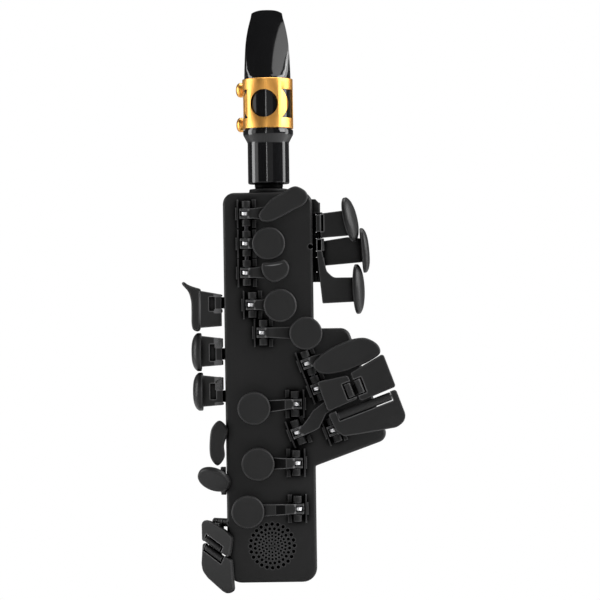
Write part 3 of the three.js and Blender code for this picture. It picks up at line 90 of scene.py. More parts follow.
@dataclass
class Shell:
    """A closed surface: its points in millimetres and its faces by point number."""

    points: list[Vector] = field(default_factory=list)
    faces: list[tuple[int, ...]] = field(default_factory=list)

    def __add__(self, other: "Shell") -> "Shell":
        """Both shells side by side, unwelded."""
        shift = len(self.points)
        faces = [tuple(i + shift for i in face) for face in other.faces]
        return Shell(self.points + other.points, self.faces + faces)

    def moved(self, matrix: Matrix) -> "Shell":
        """This shell carried by a matrix."""
        return Shell([matrix @ p for p in self.points], self.faces)

    def at(
        self, x: float = 0, y: float = 0, z: float = 0, turn: Sequence[float] = (0, 0, 0)
    ) -> "Shell":
        """This shell turned about X, then Y, then Z, in radians, and then shifted.

        Args:
            x, y, z: the shift.
            turn: the three turns.

        Returns:
            The moved shell.
        """
        spin = Matrix.Identity(4)
        for angle, axis in zip(turn, "XYZ"):
            spin = Matrix.Rotation(angle, 4, axis) @ spin
        return self.moved(Matrix.Translation((x, y, z)) @ spin)

    def work(self) -> bmesh.types.BMesh:
        """A bmesh of this shell in millimetres with its faces pointing out."""
        bench = bmesh.new()
        verts = [bench.verts.new(p) for p in self.points]
        for face in self.faces:
            bench.faces.new([verts[i] for i in face])
        bmesh.ops.recalc_face_normals(bench, faces=bench.faces)
        return bench

    def softened(self, width: float, steps: int = 3, sharper: float = 32) -> "Shell":
        """This shell with every edge sharper than an angle rounded over.

        Args:
            width: how far each rounding reaches.
            steps: faces across a rounding.
            sharper: the least angle, in degrees, of an edge that is rounded.

        Returns:
            The rounded shell.
        """
        bench = self.work()
        limit = math.radians(sharper)
        edges = [e for e in bench.edges if len(e.link_faces) == 2 and e.calc_face_angle() > limit]
        bmesh.ops.bevel(
            bench, geom=edges, offset=width, segments=steps, affect="EDGES", clamp_overlap=True, profile=0.5
        )
        bench.verts.ensure_lookup_table()
        bench.verts.index_update()
        faces = [tuple(v.index for v in face.verts) for face in bench.faces]
        soft = Shell([v.co.copy() for v in bench.verts], faces)
        bench.free()
        return soft


def span(side: float, near: float, far: float) -> list[float]:
    """Two distances to one side of the middle, in rising order."""
    return sorted((side * near, side * far))


class Form:
    """Outlines and solids that the pieces are drawn with."""

    STEPS = 24
    CORNER = 1.4

    @staticmethod
    def oval(half_x: float, half_z: float, sides: int = 64) -> Outline:
        """An ellipse about the origin."""
        turn = 2 * math.pi / sides
        return [(math.cos(i * turn) * half_x, math.sin(i * turn) * half_z) for i in range(sides)]

    @staticmethod
    def rounded(corners: Sequence[Triple], inset: float = 0, steps: int = 8) -> Outline:
        """A polygon with rounded corners.

        Args:
            corners: x, z and radius of each corner, counter-clockwise.
            inset: how far every side moves inwards.
            steps: straight pieces in each rounding.

        Returns:
            The outline's points.
        """
        count = len(corners)
        sides = []
        for i in range(count):
            start = Vector(corners[i][:2])
            along = (Vector(corners[(i + 1) % count][:2]) - start).normalized()
            sides.append((start + Vector((-along.y, along.x)) * inset, along))
        outline: Outline = []
        for i in range(count):
            before, along = sides[i - 1]
            start, after = sides[i]
            turning = along.x * after.y - along.y * after.x
            offset = start - before
            reach = (offset.x * after.y - offset.y * after.x) / turning
            bend = math.atan2(turning, along.dot(after))
            radius = corners[i][2]
            arc = max(radius - math.copysign(inset, bend), radius / 3)
            first = before + along * (reach - arc * math.tan(abs(bend) / 2))
            centre = first + Vector((-along.y, along.x)) * math.copysign(arc, bend)
            for k in range(steps + 1):
                arm = first - centre
                arm.rotate(Matrix.Rotation(bend * k / steps, 2))
                outline.append(tuple(centre + arm))
        return outline

    @staticmethod
    def shaped(box: Sequence[float], corners: Corners) -> Outline:
        """A polygon from shares of a box (x, z, width, height), each corner so many times as round."""
        x, z, width, height = box
        return Form.rounded([(x + a * width, z + b * height, k * Form.CORNER) for a, b, k in corners])

    @staticmethod
    def smooth(box: Sequence[float], shares: Sequence[Pair], sides: int) -> Outline:
        """A smooth closed outline through knots.

        Args:
            box: x, z, width and height that the shares refer to.
            shares: the knots as shares of the width and the height.
            sides: points on the outline.

        Returns:
            Evenly spaced points.
        """
        x, z, width, height = box
        knots = [Vector((x + a * width, z + b * height)) for a, b in shares]
        count = len(knots)
        dense: list[Vector] = []
        for i in range(count):
            p0, p1, p2, p3 = (knots[(i + k - 1) % count] for k in range(4))
            d0, d1, d2 = (math.sqrt(max((b - a).length, 1e-6)) for a, b in ((p0, p1), (p1, p2), (p2, p3)))
            t1 = ((p1 - p0) / d0 - (p2 - p0) / (d0 + d1) + (p2 - p1) / d1) * d1
            t2 = ((p2 - p1) / d1 - (p3 - p1) / (d1 + d2) + (p3 - p2) / d2) * d1
            for step in range(Form.STEPS):
                t = step / Form.STEPS
                h1, h2 = 2 * t**3 - 3 * t**2 + 1, t**3 - 2 * t**2 + t
                h3, h4 = -2 * t**3 + 3 * t**2, t**3 - t**2
                dense.append(p1 * h1 + t1 * h2 + p2 * h3 + t2 * h4)
        lengths = [0.0]
        for a, b in zip(dense, dense[1:] + dense[:1]):
            lengths.append(lengths[-1] + (b - a).length)
        outline: Outline = []
        slot = 0
        for i in range(sides):
            want = lengths[-1] * i / sides
            while lengths[slot + 1] < want:
                slot += 1
            share = (want - lengths[slot]) / max(lengths[slot + 1] - lengths[slot], 1e-9)
            outline.append(tuple(dense[slot].lerp(dense[(slot + 1) % len(dense)], share)))
        return outline

    @staticmethod
    def scaled(outline: Outline, share: float) -> Outline:
        """An outline scaled about the mean of its points."""
        mx = sum(p[0] for p in outline) / len(outline)
        mz = sum(p[1] for p in outline) / len(outline)
        return [(mx + (x - mx) * share, mz + (z - mz) * share) for x, z in outline]

    @staticmethod
    def drawn_in(outline: Outline, inset: float) -> Outline:
        """An outline with every point moved inwards by a distance, for outlines without tight bends."""
        count = len(outline)
        moved: Outline = []
        pairs = [(outline[i - 1], outline[i]) for i in range(count)]
        side = 1 if sum(a[0] * b[1] - b[0] * a[1] for a, b in pairs) > 0 else -1
        for i, (x, z) in enumerate(outline):
            (ax, az), (bx, bz) = outline[i - 1], outline[(i + 1) % count]
            size = math.hypot(bx - ax, bz - az) or 1
            moved.append((x - side * inset * (bz - az) / size, z + side * inset * (bx - ax) / size))
        return moved

    @staticmethod
    def loft(layers: Sequence[tuple[Outline, float]], axis: Axis = Axis.Y) -> Shell:
        """A closed solid through outlines of equal point counts, each at its place along an axis."""
        count = len(layers[0][0])
        points = [axis.at(p, along) for outline, along in layers for p in outline]
        faces: list[tuple[int, ...]] = []
        for layer in range(len(layers) - 1):
            for i in range(count):
                a, b = layer * count + i, layer * count + (i + 1) % count
                faces.append((a, b, b + count, a + count))
        faces.append(tuple(range(count)))
        faces.append(tuple((len(layers) - 1) * count + i for i in reversed(range(count))))
        return Shell(points, faces)

    @staticmethod
    def prism(outline: Outline, start: float, end: float, axis: Axis = Axis.Y) -> Shell:
        """An outline carried straight from one place to another."""
        return Form.loft([(outline, start), (outline, end)], axis)

    @staticmethod
    def block(x: Sequence[float], y: Sequence[float], z: Sequence[float]) -> Shell:
        """A box between two values on each axis."""
        return Form.prism([(x[0], z[0]), (x[1], z[0]), (x[1], z[1]), (x[0], z[1])], y[0], y[1])

    @staticmethod
    def lathe(profile: Sequence[Pair], sides: int = 48) -> Shell:
        """A solid turned about Z from (radius, height) points; a radius of 0 closes it at a pole."""
        points: list[Vector] = []
        rings: list[list[int]] = []
        for radius, height in profile:
            if radius <= 0:
                rings.append([len(points)] * sides)
                points.append(Vector((0, 0, height)))
                continue
            first = len(points)
            for i in range(sides):
                around = 2 * math.pi * i / sides
                points.append(Vector((radius * math.cos(around), radius * math.sin(around), height)))
            rings.append(list(range(first, first + sides)))
        faces: list[tuple[int, ...]] = []
        closed = profile[0][0] > 0 and profile[-1][0] > 0
        pairs = list(zip(rings, rings[1:])) + ([(rings[-1], rings[0])] if closed else [])
        for low, high in pairs:
            for i in range(sides):
                j = (i + 1) % sides
                corners = [low[i], low[j], high[j], high[i]]
                faces.append(tuple(dict.fromkeys(corners)))
        return Shell(points, [face for face in faces if len(face) > 2])

    @staticmethod
    def barrel(
        radius: float, start: Sequence[float], end: Sequence[float], sides: int = 32, edge: float = 0
    ) -> Shell:
        """A round bar between two points, its end edges cut back by a small amount."""
        a, b = Vector(start), Vector(end)
        length = (b - a).length
        profile = [(0, 0), (radius, 0), (radius, length), (0, length)]
        if edge > 0:
            foot = [(radius - edge, 0), (radius, edge)]
            profile[1:3] = foot + [(r, length - height) for r, height in reversed(foot)]
        turn = Vector((0, 0, 1)).rotation_difference(b - a).to_matrix().to_4x4()
        return Form.lathe(profile, sides).moved(Matrix.Translation(a) @ turn)

    @classmethod
    def upright(cls, radius: float, low: float, high: float, sides: int = 32, edge: float = 0) -> Shell:
        """A round bar about Z."""
        return cls.barrel(radius, (0, 0, low), (0, 0, high), sides, edge)

    @staticmethod
    def ribbon(stations: Sequence[Four], thickness: float) -> Shell:
        """A bent strip through (x, y) stations, each spanning low to high in Z."""
        points: list[Vector] = []
        faces: list[tuple[int, ...]] = []
        last = len(stations) - 1
        for i, (x, y, low, high) in enumerate(stations):
            ax, ay = stations[max(i - 1, 0)][:2]
            bx, by = stations[min(i + 1, last)][:2]
            size = math.hypot(bx - ax, by - ay)
            nx, ny = (ay - by) / size * thickness / 2, (bx - ax) / size * thickness / 2
            points += [
                Vector((x - nx, y - ny, low)),
                Vector((x + nx, y + ny, low)),
                Vector((x + nx, y + ny, high)),
                Vector((x - nx, y - ny, high)),
            ]
        for i in range(last):
            for k in range(4):
                a, b = i * 4 + k, i * 4 + (k + 1) % 4
                faces.append((a, b, b + 4, a + 4))
        faces.append((0, 1, 2, 3))
        faces.append((last * 4 + 3, last * 4 + 2, last * 4 + 1, last * 4))
        return Shell(points, faces)

    @staticmethod
    def touch(outline: Outline, thickness: float, rim: Sequence[Pair]) -> Shell:
        """A finger touch that faces -Y with its back at y = 0.

        Args:
            outline: its widest outline.
            thickness: its height.
            rim: how far the outline is drawn in, and its height as a share, from the back to the face.

        Returns:
            The closed touch.
        """
        return Form.loft([(Form.drawn_in(outline, inset), -thickness * rise) for inset, rise in rim])

    @staticmethod
    def dome(outline: Outline, thickness: float, shares: Sequence[Pair]) -> Shell:
        """A domed touch that faces -Y: shares of its outline at shares of its thickness."""
        return Form.loft([(Form.scaled(outline, share), -thickness * rise) for share, rise in shares])


class Value:
    """A socket of a material's node sheet that takes part in Python arithmetic."""

    def __init__(self, sheet: "Sheet", socket: Socket) -> None:
        """Wraps an output socket."""
        self.sheet = sheet
        self.socket = socket

    def _maths(self, operation: str, *values: Any) -> "Value":
        """A Math node on this and other values."""
        node = self.sheet.node("ShaderNodeMath", dict(enumerate(values)), {"operation": operation})
        return Value(self.sheet, node.outputs[0])

    def __add__(self, other: Any) -> "Value":
        """This plus another value."""
        return self._maths("ADD", self, other)

    def __sub__(self, other: Any) -> "Value":
        """This less another value."""
        return self._maths("SUBTRACT", self, other)

    def __rsub__(self, other: Any) -> "Value":
        """Another value less this."""
        return self._maths("SUBTRACT", other, self)

    def __mul__(self, other: Any) -> "Value":
        """This times another value."""
        return self._maths("MULTIPLY", self, other)

    def between(self, low: float, high: float) -> "Value":
        """This mapped from low..high to 0..1 and held there."""
        sockets = {0: self, 1: low, 2: high, 3: 0.0, 4: 1.0}
        node = self.sheet.node("ShaderNodeMapRange", sockets, {"clamp": True})
        return Value(self.sheet, node.outputs[0])


class Sheet:
    """The node sheet of one material."""

    def __init__(self, name: str) -> None:
        """Starts an empty sheet with Object coordinates at hand."""
        self.material = bpy.data.materials.new(name)
        self.material.use_nodes = True
        self.tree = self.material.node_tree
        self.tree.nodes.clear()
        self.place = self.node("ShaderNodeTexCoord").outputs["Object"]

    def node(self, kind: str, sockets: Sockets | None = None, settings: Settings | None = None) -> Node:
        """Adds a node.

        Args:
            kind: its type.
            sockets: values or links for its inputs, by name or number.
            settings: its own options, set first.

        Returns:
            The node.
        """
        node = self.tree.nodes.new(kind)
        for key, value in (settings or {}).items():
            setattr(node, key, value)
        for key, value in (sockets or {}).items():
            socket = node.inputs[key]
            if isinstance(value, Value):
                self.tree.links.new(value.socket, socket)
            elif isinstance(value, Socket):
                self.tree.links.new(value, socket)
            else:
                socket.default_value = value
        return node

    def noise(self, size: float, detail: float = 2, stretch: Sequence[float] = (1, 1, 1)) -> Value:
        """Noise of a feature size in metres, stretched along the part's axes."""
        scale = tuple(1 / (size * s) for s in stretch)
        place = self.node("ShaderNodeMapping", {"Vector": self.place, "Scale": scale})
        sockets = {"Vector": place.outputs[0], "Scale": 1.0, "Detail": detail, "Roughness": 0.5}
        return Value(self, self.node("ShaderNodeTexNoise", sockets).outputs["Fac"])

    def cells(self, size: float) -> Value:
        """The distance to the nearest cell centre of a pattern with cells of a size in metres."""
        sockets = {"Vector": self.place, "Scale": 1 / size}
        node = self.node("ShaderNodeTexVoronoi", sockets, {"feature": "F1"})
        return Value(self, node.outputs["Distance"])

    def openness(self, reach: float, inside: bool = False) -> Value:
        """How free a place is of what lies within a reach in metres.

        Args:
            reach: how far to look.
            inside: whether to look into the piece, so that the value falls at its edges.

        Returns:
            The share that is free.
        """
        settings = {"samples": 8, "inside": inside}
        node = self.node("ShaderNodeAmbientOcclusion", {"Distance": reach}, settings)
        return Value(self, node.outputs["AO"])

    def mixed(self, share: Value, low: Any, high: Any) -> Socket:
        """A colour that runs from low to high with a value; each is a colour or a socket."""
        ends = [(*end, 1) if isinstance(end, tuple) else end for end in (low, high)]
        sockets = {0: share, 6: ends[0], 7: ends[1]}
        return self.node("ShaderNodeMix", sockets, {"data_type": "RGBA"}).outputs[2]

    def bump(self, height: Value, depth: float) -> Socket:
        """A bumped normal of a depth in metres."""
        sockets = {"Strength": 1.0, "Distance": depth, "Height": height}
        return self.node("ShaderNodeBump", sockets).outputs[0]

    def finish(self, sockets: dict[str, Any], open_air: Value | None = None) -> bpy.types.Material:
        """Ends the sheet in a Principled surface.

        Args:
            sockets: the surface's sockets.
            open_air: where given, shade is painted in: the surface falls to matt black as this value falls.

        Returns:
            The material.
        """
        surface = self.node("ShaderNodeBsdfPrincipled", sockets)
        if open_air is not None:
            # Painted shade: a matt black surface mixed in as the surroundings close in.
            dark = {"Base Color": (*PAINTED_SHADE_BLACK, 1), "Roughness": 0.9, "Specular IOR Level": 0.0}
            corner = self.node("ShaderNodeBsdfPrincipled", dark)
            ends = {0: open_air, 1: corner.outputs[0], 2: surface.outputs[0]}
            surface = self.node("ShaderNodeMixShader", ends)
        output = self.node("ShaderNodeOutputMaterial")
        self.tree.links.new(surface.outputs[0], output.inputs[0])
        return self.material


@dataclass(frozen=True)
class Finish:
    """What every finish has: its slot in the record, its colour and its roughness."""

    slot: str
    colour: Colour
    roughness: float

    def sheet(self) -> Sheet:
        """An empty sheet in the finish's name."""
        return Sheet(f"finish_{self.slot}")

    def tints(self, *factors: float) -> list[Colour]:
        """The colour made lighter or darker by each factor."""
        return [tuple(min(c * factor, 1) for c in self.colour) for factor in factors]


@dataclass(frozen=True)
class MouldedPlastic(Finish):
    """Moulded plastic or rubber with a fine spark-eroded texture.

    Its edges are painted paler as a highlight, and shade is painted into its corners and crevices.
    """

    grain: float = 0.00035
    depth: float = 0.000012
    specular: float = 0.2
    mottle: float = 0.022
    spread: float = 0.16
    # Painted highlight on edges: how far to look into the piece, the band, the paler tint and how much of it
    # is mixed in.
    edge: float = 0.0007
    edge_share: Pair = (0.5, 0.97)
    edge_highlight_tint: float = 14
    edge_highlight: float = 0.65
    # Painted shade: how far to look for what closes in, and the band over which the colour falls to black.
    corner: float = 0.004
    corner_share: Pair = (0.48, 0.95)

    def paint(self) -> bpy.types.Material:
        """The material."""
        sheet = self.sheet()
        grain = sheet.noise(self.grain, detail=3)
        broad = sheet.noise(self.mottle, detail=3)
        tone = (grain * 0.55 + broad * 0.45).between(0.34, 0.66)
        colour = sheet.mixed(tone, *self.tints(1 - self.spread, 1 + self.spread))
        # Edges are painted paler as a highlight.
        edges = 1 - sheet.openness(self.edge, inside=True).between(*self.edge_share)
        # The last value paints shade into corners and crevices.
        return sheet.finish({
            "Base Color": sheet.mixed(edges * self.edge_highlight, colour, *self.tints(self.edge_highlight_tint)),
            "Roughness": broad * 0.1 + grain * 0.08 + (self.roughness - 0.09),
            "Specular IOR Level": self.specular,
            "Normal": sheet.bump(grain, self.depth),
        }, sheet.openness(self.corner).between(*self.corner_share))


@dataclass(frozen=True)
class Polished(Finish):
    """Polished hard rubber with faint hairlines."""

    def paint(self) -> bpy.types.Material:
        """The material."""
        sheet = self.sheet()
        hairs = sheet.noise(0.0004, detail=2, stretch=(1, 1, 14))
        cloud = sheet.noise(0.012, detail=2)
        return sheet.finish({
            "Base Color": sheet.mixed(cloud, *self.tints(0.8, 1.25)),
            "Roughness": hairs.between(0.45, 0.8) * 0.05 + cloud * 0.03 + (self.roughness - 0.02),
            "Specular IOR Level": 0.35,
            "Coat Weight": 0.2,
            "Coat Roughness": 0.04,
            "Normal": sheet.bump(cloud, 0.00002),
        })


@dataclass(frozen=True)
class Metal(Finish):
    """Plated or lacquered metal with fine turning or polishing lines."""

    stretch: Triple = (20, 20, 1)
    line: float = 0.0002
    depth: float = 0.0000025

    def paint(self) -> bpy.types.Material:
        """The material."""
        sheet = self.sheet()
        lines = sheet.noise(self.line, detail=3, stretch=self.stretch)
        cloud = sheet.noise(0.006, detail=2)
        return sheet.finish({
            "Base Color": sheet.mixed(cloud.between(0.3, 0.7), *self.tints(0.9, 1)),
            "Metallic": 1.0,
            "Roughness": lines * 0.1 + cloud * 0.06 + (self.roughness - 0.08),
            "Normal": sheet.bump(lines, self.depth),
        })


@dataclass(frozen=True)
class Cane(Finish):
    """Bare reed cane: long fibres in a pale straw tone."""

    def paint(self) -> bpy.types.Material:
        """The material."""
        sheet = self.sheet()
        fibres = sheet.noise(0.00028, detail=3, stretch=(1, 1, 40))
        return sheet.finish({
            "Base Color": sheet.mixed(fibres.between(0.35, 0.65), *self.tints(0.68, 1.1)),
            "Roughness": fibres * 0.2 + self.roughness,
            "Normal": sheet.bump(fibres, 0.00003),
        })


@dataclass(frozen=True)
class Cork(Finish):
    """Bare cork: rounded grains with dark pores."""

    def paint(self) -> bpy.types.Material:
        """The material."""
        sheet = self.sheet()
        grains = sheet.cells(0.0011)
        pores = sheet.noise(0.0005, detail=4)
        tone = (1 - grains.between(0.1, 0.7)) * 0.6 + pores * 0.5
        return sheet.finish({
            "Base Color": sheet.mixed(tone.between(0.2, 0.9), *self.tints(0.5, 1.15)),
            "Roughness": pores * 0.15 + self.roughness,
            "Normal": sheet.bump(tone, 0.00012),
        })


SHELL = MouldedPlastic("shell_black", (0.0118, 0.0118, 0.012), 0.5, edge_highlight=0.35)
KEY = MouldedPlastic("key_black", (0.0138, 0.0138, 0.014), 0.38, grain=0.0003, depth=0.00001)
SOFT = MouldedPlastic(
    "soft_black", (0.005, 0.005, 0.0052), 0.85, grain=0.0005, depth=0.00003, specular=0.1, edge_highlight=0
)
BOARD = MouldedPlastic(
    "board_green", (0.006, 0.05, 0.02), 0.4, grain=0.0012, depth=0.00002, specular=0.5
)
EBONITE = Polished("mouthpiece_black", (0.004, 0.004, 0.0045), 0.09)
GOLD = Metal("gold", (0.85, 0.42, 0.1), 0.38, stretch=(1, 1, 20))
NICKEL = Metal("steel", (0.93, 0.93, 0.94), 0.4)
ROD_BLACK = Metal("rod_black", (0.03, 0.03, 0.032), 0.34)
FOIL = Metal("battery_foil", (0.32, 0.33, 0.35), 0.42, line=0.0006, depth=0.00002)
CANE = Cane("cane", (0.7, 0.5, 0.23), 0.45)
CORK = Cork("cork_tan", (0.48, 0.25, 0.1), 0.78)
FINISHES = (SHELL, KEY, SOFT, BOARD, EBONITE, GOLD, NICKEL, ROD_BLACK, FOIL, CANE, CORK)
PAINTED = {finish.slot: finish.paint() for finish in FINISHES}


def linked(name: str, data: bpy.types.ID) -> Piece:
    """An object of some data, at the origin of the scene."""
    piece = bpy.data.objects.new(name, data)
    bpy.context.scene.collection.objects.link(piece)
    return piece


class Bench:
    """Turns shells into finished pieces of the scene."""

    @staticmethod
    def mesh(name: str, shell: Shell, slot: str, smooth: float = 40) -> Piece:
        """Makes an object of a shell, in metres, at the origin.

        Args:
            name: the piece's name.
            shell: its surface.
            slot: its finish.
            smooth: the angle in degrees up to which faces shade into each other.

        Returns:
            The object.
        """
        data = bpy.data.meshes.new(name)
        bench = shell.work()
        bmesh.ops.scale(bench, vec=(MM, MM, MM), verts=bench.verts)
        bench.to_mesh(data)
        bench.free()
        data.materials.append(PAINTED[slot])
        data.shade_smooth()
        data.set_sharp_from_angle(angle=math.radians(smooth))
        return linked(name, data)

    @staticmethod
    def even(piece: Piece) -> None:
        """Keeps flat faces flat beside their rounded edges."""
        even = piece.modifiers.new("even_normals", "WEIGHTED_NORMAL")
        even.keep_sharp = True
        even.weight = 60

    @staticmethod
    def fit(piece: Piece, slot: str, body: str, nodes: Iterable[str] = ()) -> Piece:
        """Lets a piece ride on its body and stand for its nodes.

        Args:
            piece: the finished object.
            slot: the record's material slot; not used.
            body: the body that it moves with.
            nodes: the nodes that it stands for.

        Returns:
            The piece.
        """
        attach(piece, body)
        for node in nodes:
            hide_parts(node)
        log.info("%s on %s, %d points", piece.name, body, len(piece.data.vertices))
        return piece

    @classmethod
    def piece(
        cls, name: str, shell: Shell, slot: str, body: str, nodes: Iterable[str] = (), smooth: float = 40
    ) -> Piece:
        """Makes, evens and fits a piece in one go."""
        piece = cls.mesh(name, shell, slot, smooth)
        cls.even(piece)
        return cls.fit(piece, slot, body, nodes)

    @classmethod
    def key(cls, name: str, shell: Shell, body: str) -> Piece:
        """Makes a black piece of the key or roller whose body and node share one name."""
        return cls.piece(name, shell, KEY.slot, body, [body])

    @classmethod
    def placed(cls, piece: Piece, place: Matrix, body: str) -> Piece:
        """Carries a loose black piece of a key to its place, in millimetres, and fits it."""
        piece.data.transform(Matrix.Scale(MM, 4) @ place @ Matrix.Scale(1 / MM, 4))
        cls.even(piece)
        return cls.fit(piece, KEY.slot, body, [body])

    @staticmethod
    def settled(piece: Piece) -> None:
        """Replaces an object's mesh by its evaluated one and drops its modifiers."""
        graph = bpy.context.evaluated_depsgraph_get()
        graph.update()
        data = bpy.data.meshes.new_from_object(piece.evaluated_get(graph), depsgraph=graph)
        piece.modifiers.clear()
        piece.data = data

    @classmethod
    def cut(cls, piece: Piece, cutter: Piece) -> None:
        """Cuts an object out of a piece and takes the cutter away."""
        cut = piece.modifiers.new("cut", "BOOLEAN")
        cut.operation = "DIFFERENCE"
        cut.solver = "EXACT"
        cut.object = cutter
        cls.settled(piece)
        bpy.data.objects.remove(cutter)

    @classmethod
    def carved(cls, piece: Piece, tool: Shell, smooth: float = 40) -> None:
        """Cuts a shell out of a piece and marks its sharp edges."""
        cls.cut(piece, cls.mesh(f"{piece.name}_cutter", tool, SHELL.slot))
        piece.data.set_sharp_from_angle(angle=math.radians(smooth))


class Rule:
    """A Geometry Nodes tree made in the script."""

    def __init__(self, name: str, inputs: dict[str, float]) -> None:
        """Starts a tree with named inputs.

        Args:
            name: the tree's name.
            inputs: the value of each named size, a whole number where it is a count.
        """
        self.tree = bpy.data.node_groups.new(name, "GeometryNodeTree")
        face = self.tree.interface
        face.new_socket("Geometry", in_out="INPUT", socket_type="NodeSocketGeometry")
        face.new_socket("Geometry", in_out="OUTPUT", socket_type="NodeSocketGeometry")
        self.sizes = {}
        for label, value in inputs.items():
            kind = "NodeSocketInt" if isinstance(value, int) else "NodeSocketFloat"
            socket = face.new_socket(label, in_out="INPUT", socket_type=kind)
            self.sizes[socket.identifier] = value
        self.source = self.tree.nodes.new("NodeGroupInput")
        self.target = self.tree.nodes.new("NodeGroupOutput")

    def add(self, kind: str, sockets: Sockets | None = None, settings: Settings | None = None) -> Node:
        """Adds a node with its options set first, then its values or links."""
        node = self.tree.nodes.new(kind)
        for key, value in (settings or {}).items():
            setattr(node, key, value)
        for key, value in (sockets or {}).items():
            if isinstance(value, Socket):
                self.tree.links.new(value, node.inputs[key])
            else:
                node.inputs[key].default_value = value
        return node

    def size(self, label: str) -> Socket:
        """The group input of a named size."""
        return self.source.outputs[label]

    def maths(self, operation: str, *values: Any) -> Socket:
        """A Math node on values or sockets."""
        return self.add("ShaderNodeMath", dict(enumerate(values)), {"operation": operation}).outputs[0]

    def set_out(self, instance: Socket, scale: Socket | None = None) -> Socket:
        """A copy on each of the object's points, turned as the point says.

        Args:
            instance: what is copied.
            scale: the size of every copy, where it isn't its own.

        Returns:
            The copies.
        """
        turn = self.add("GeometryNodeInputNamedAttribute", {"Name": "turn"}, {"data_type": "FLOAT_VECTOR"})
        sockets = {"Points": self.source.outputs[0], "Instance": instance, "Rotation": turn.outputs[0]}
        if scale is not None:
            sockets["Scale"] = scale
        return self.add("GeometryNodeInstanceOnPoints", sockets).outputs[0]

    def end(self, geometry: Socket, slot: str) -> None:
        """Ends the tree: instances realised, material set."""
        real = self.add("GeometryNodeRealizeInstances", {0: geometry})
        sockets = {"Geometry": real.outputs[0], "Material": PAINTED[slot]}
        dressed = self.add("GeometryNodeSetMaterial", sockets)
        self.tree.links.new(dressed.outputs[0], self.target.inputs[0])

    def apply(self, piece: Piece) -> None:
        """Runs the tree on an object and leaves a plain mesh."""
        modifier = piece.modifiers.new(self.tree.name, "NODES")
        modifier.node_group = self.tree
        for identifier, value in self.sizes.items():
            modifier[identifier] = value
        Bench.settled(piece)


@dataclass
class Coil:
    """A torsion spring's coil, wound about Z by rule and set on points that carry a turn."""

    radius: float = 1.75
    wire: float = 0.25
    height: float = 1.6
    turns: float = 3.5

    def rule(self) -> Rule:
        """The tree: a spiral swept by a round wire, set on each point."""
        rule = Rule("hinge_coil", {
            "Radius": self.radius * MM,
            "Wire": self.wire * MM,
            "Height": self.height * MM,
            "Turns": self.turns,
        })
        spiral = rule.add("GeometryNodeCurveSpiral", {
            "Resolution": 20, "Rotations": rule.size("Turns"), "Start Radius": rule.size("Radius"),
            "End Radius": rule.size("Radius"), "Height": rule.size("Height"),
        })
        wire = rule.add("GeometryNodeCurvePrimitiveCircle", {
            "Resolution": 10, "Radius": rule.size("Wire"),
        })
        swept = rule.add("GeometryNodeCurveToMesh", {
            "Curve": spiral.outputs[0], "Profile Curve": wire.outputs[0], "Fill Caps": True,
        })
        rule.end(rule.set_out(swept.outputs[0]), NICKEL.slot)
        return rule

    def make(self, name: str, places: Places, body: str) -> Piece:
        """Winds a coil at every place.

        Args:
            name: the piece's name.
            places: foot of each coil in millimetres, and its turns in radians.
            body: the body that carries them.

        Returns:
            One plain mesh with every coil.
        """
        piece = scatter(name, places)
        self.rule().apply(piece)
        piece.data.shade_smooth()
        return Bench.fit(piece, NICKEL.slot, body)


def scatter(name: str, places: Places) -> Piece:
    """An object of loose points that each carry a turn for what is set on them."""
    data = bpy.data.meshes.new(name)
    data.from_pydata([tuple(p * MM) for p, _ in places], [], [])
    turns = data.attributes.new("turn", "FLOAT_VECTOR", "POINT")
    for item, (_, turn) in zip(turns.data, places):
        item.vector = turn
    return linked(name, data)


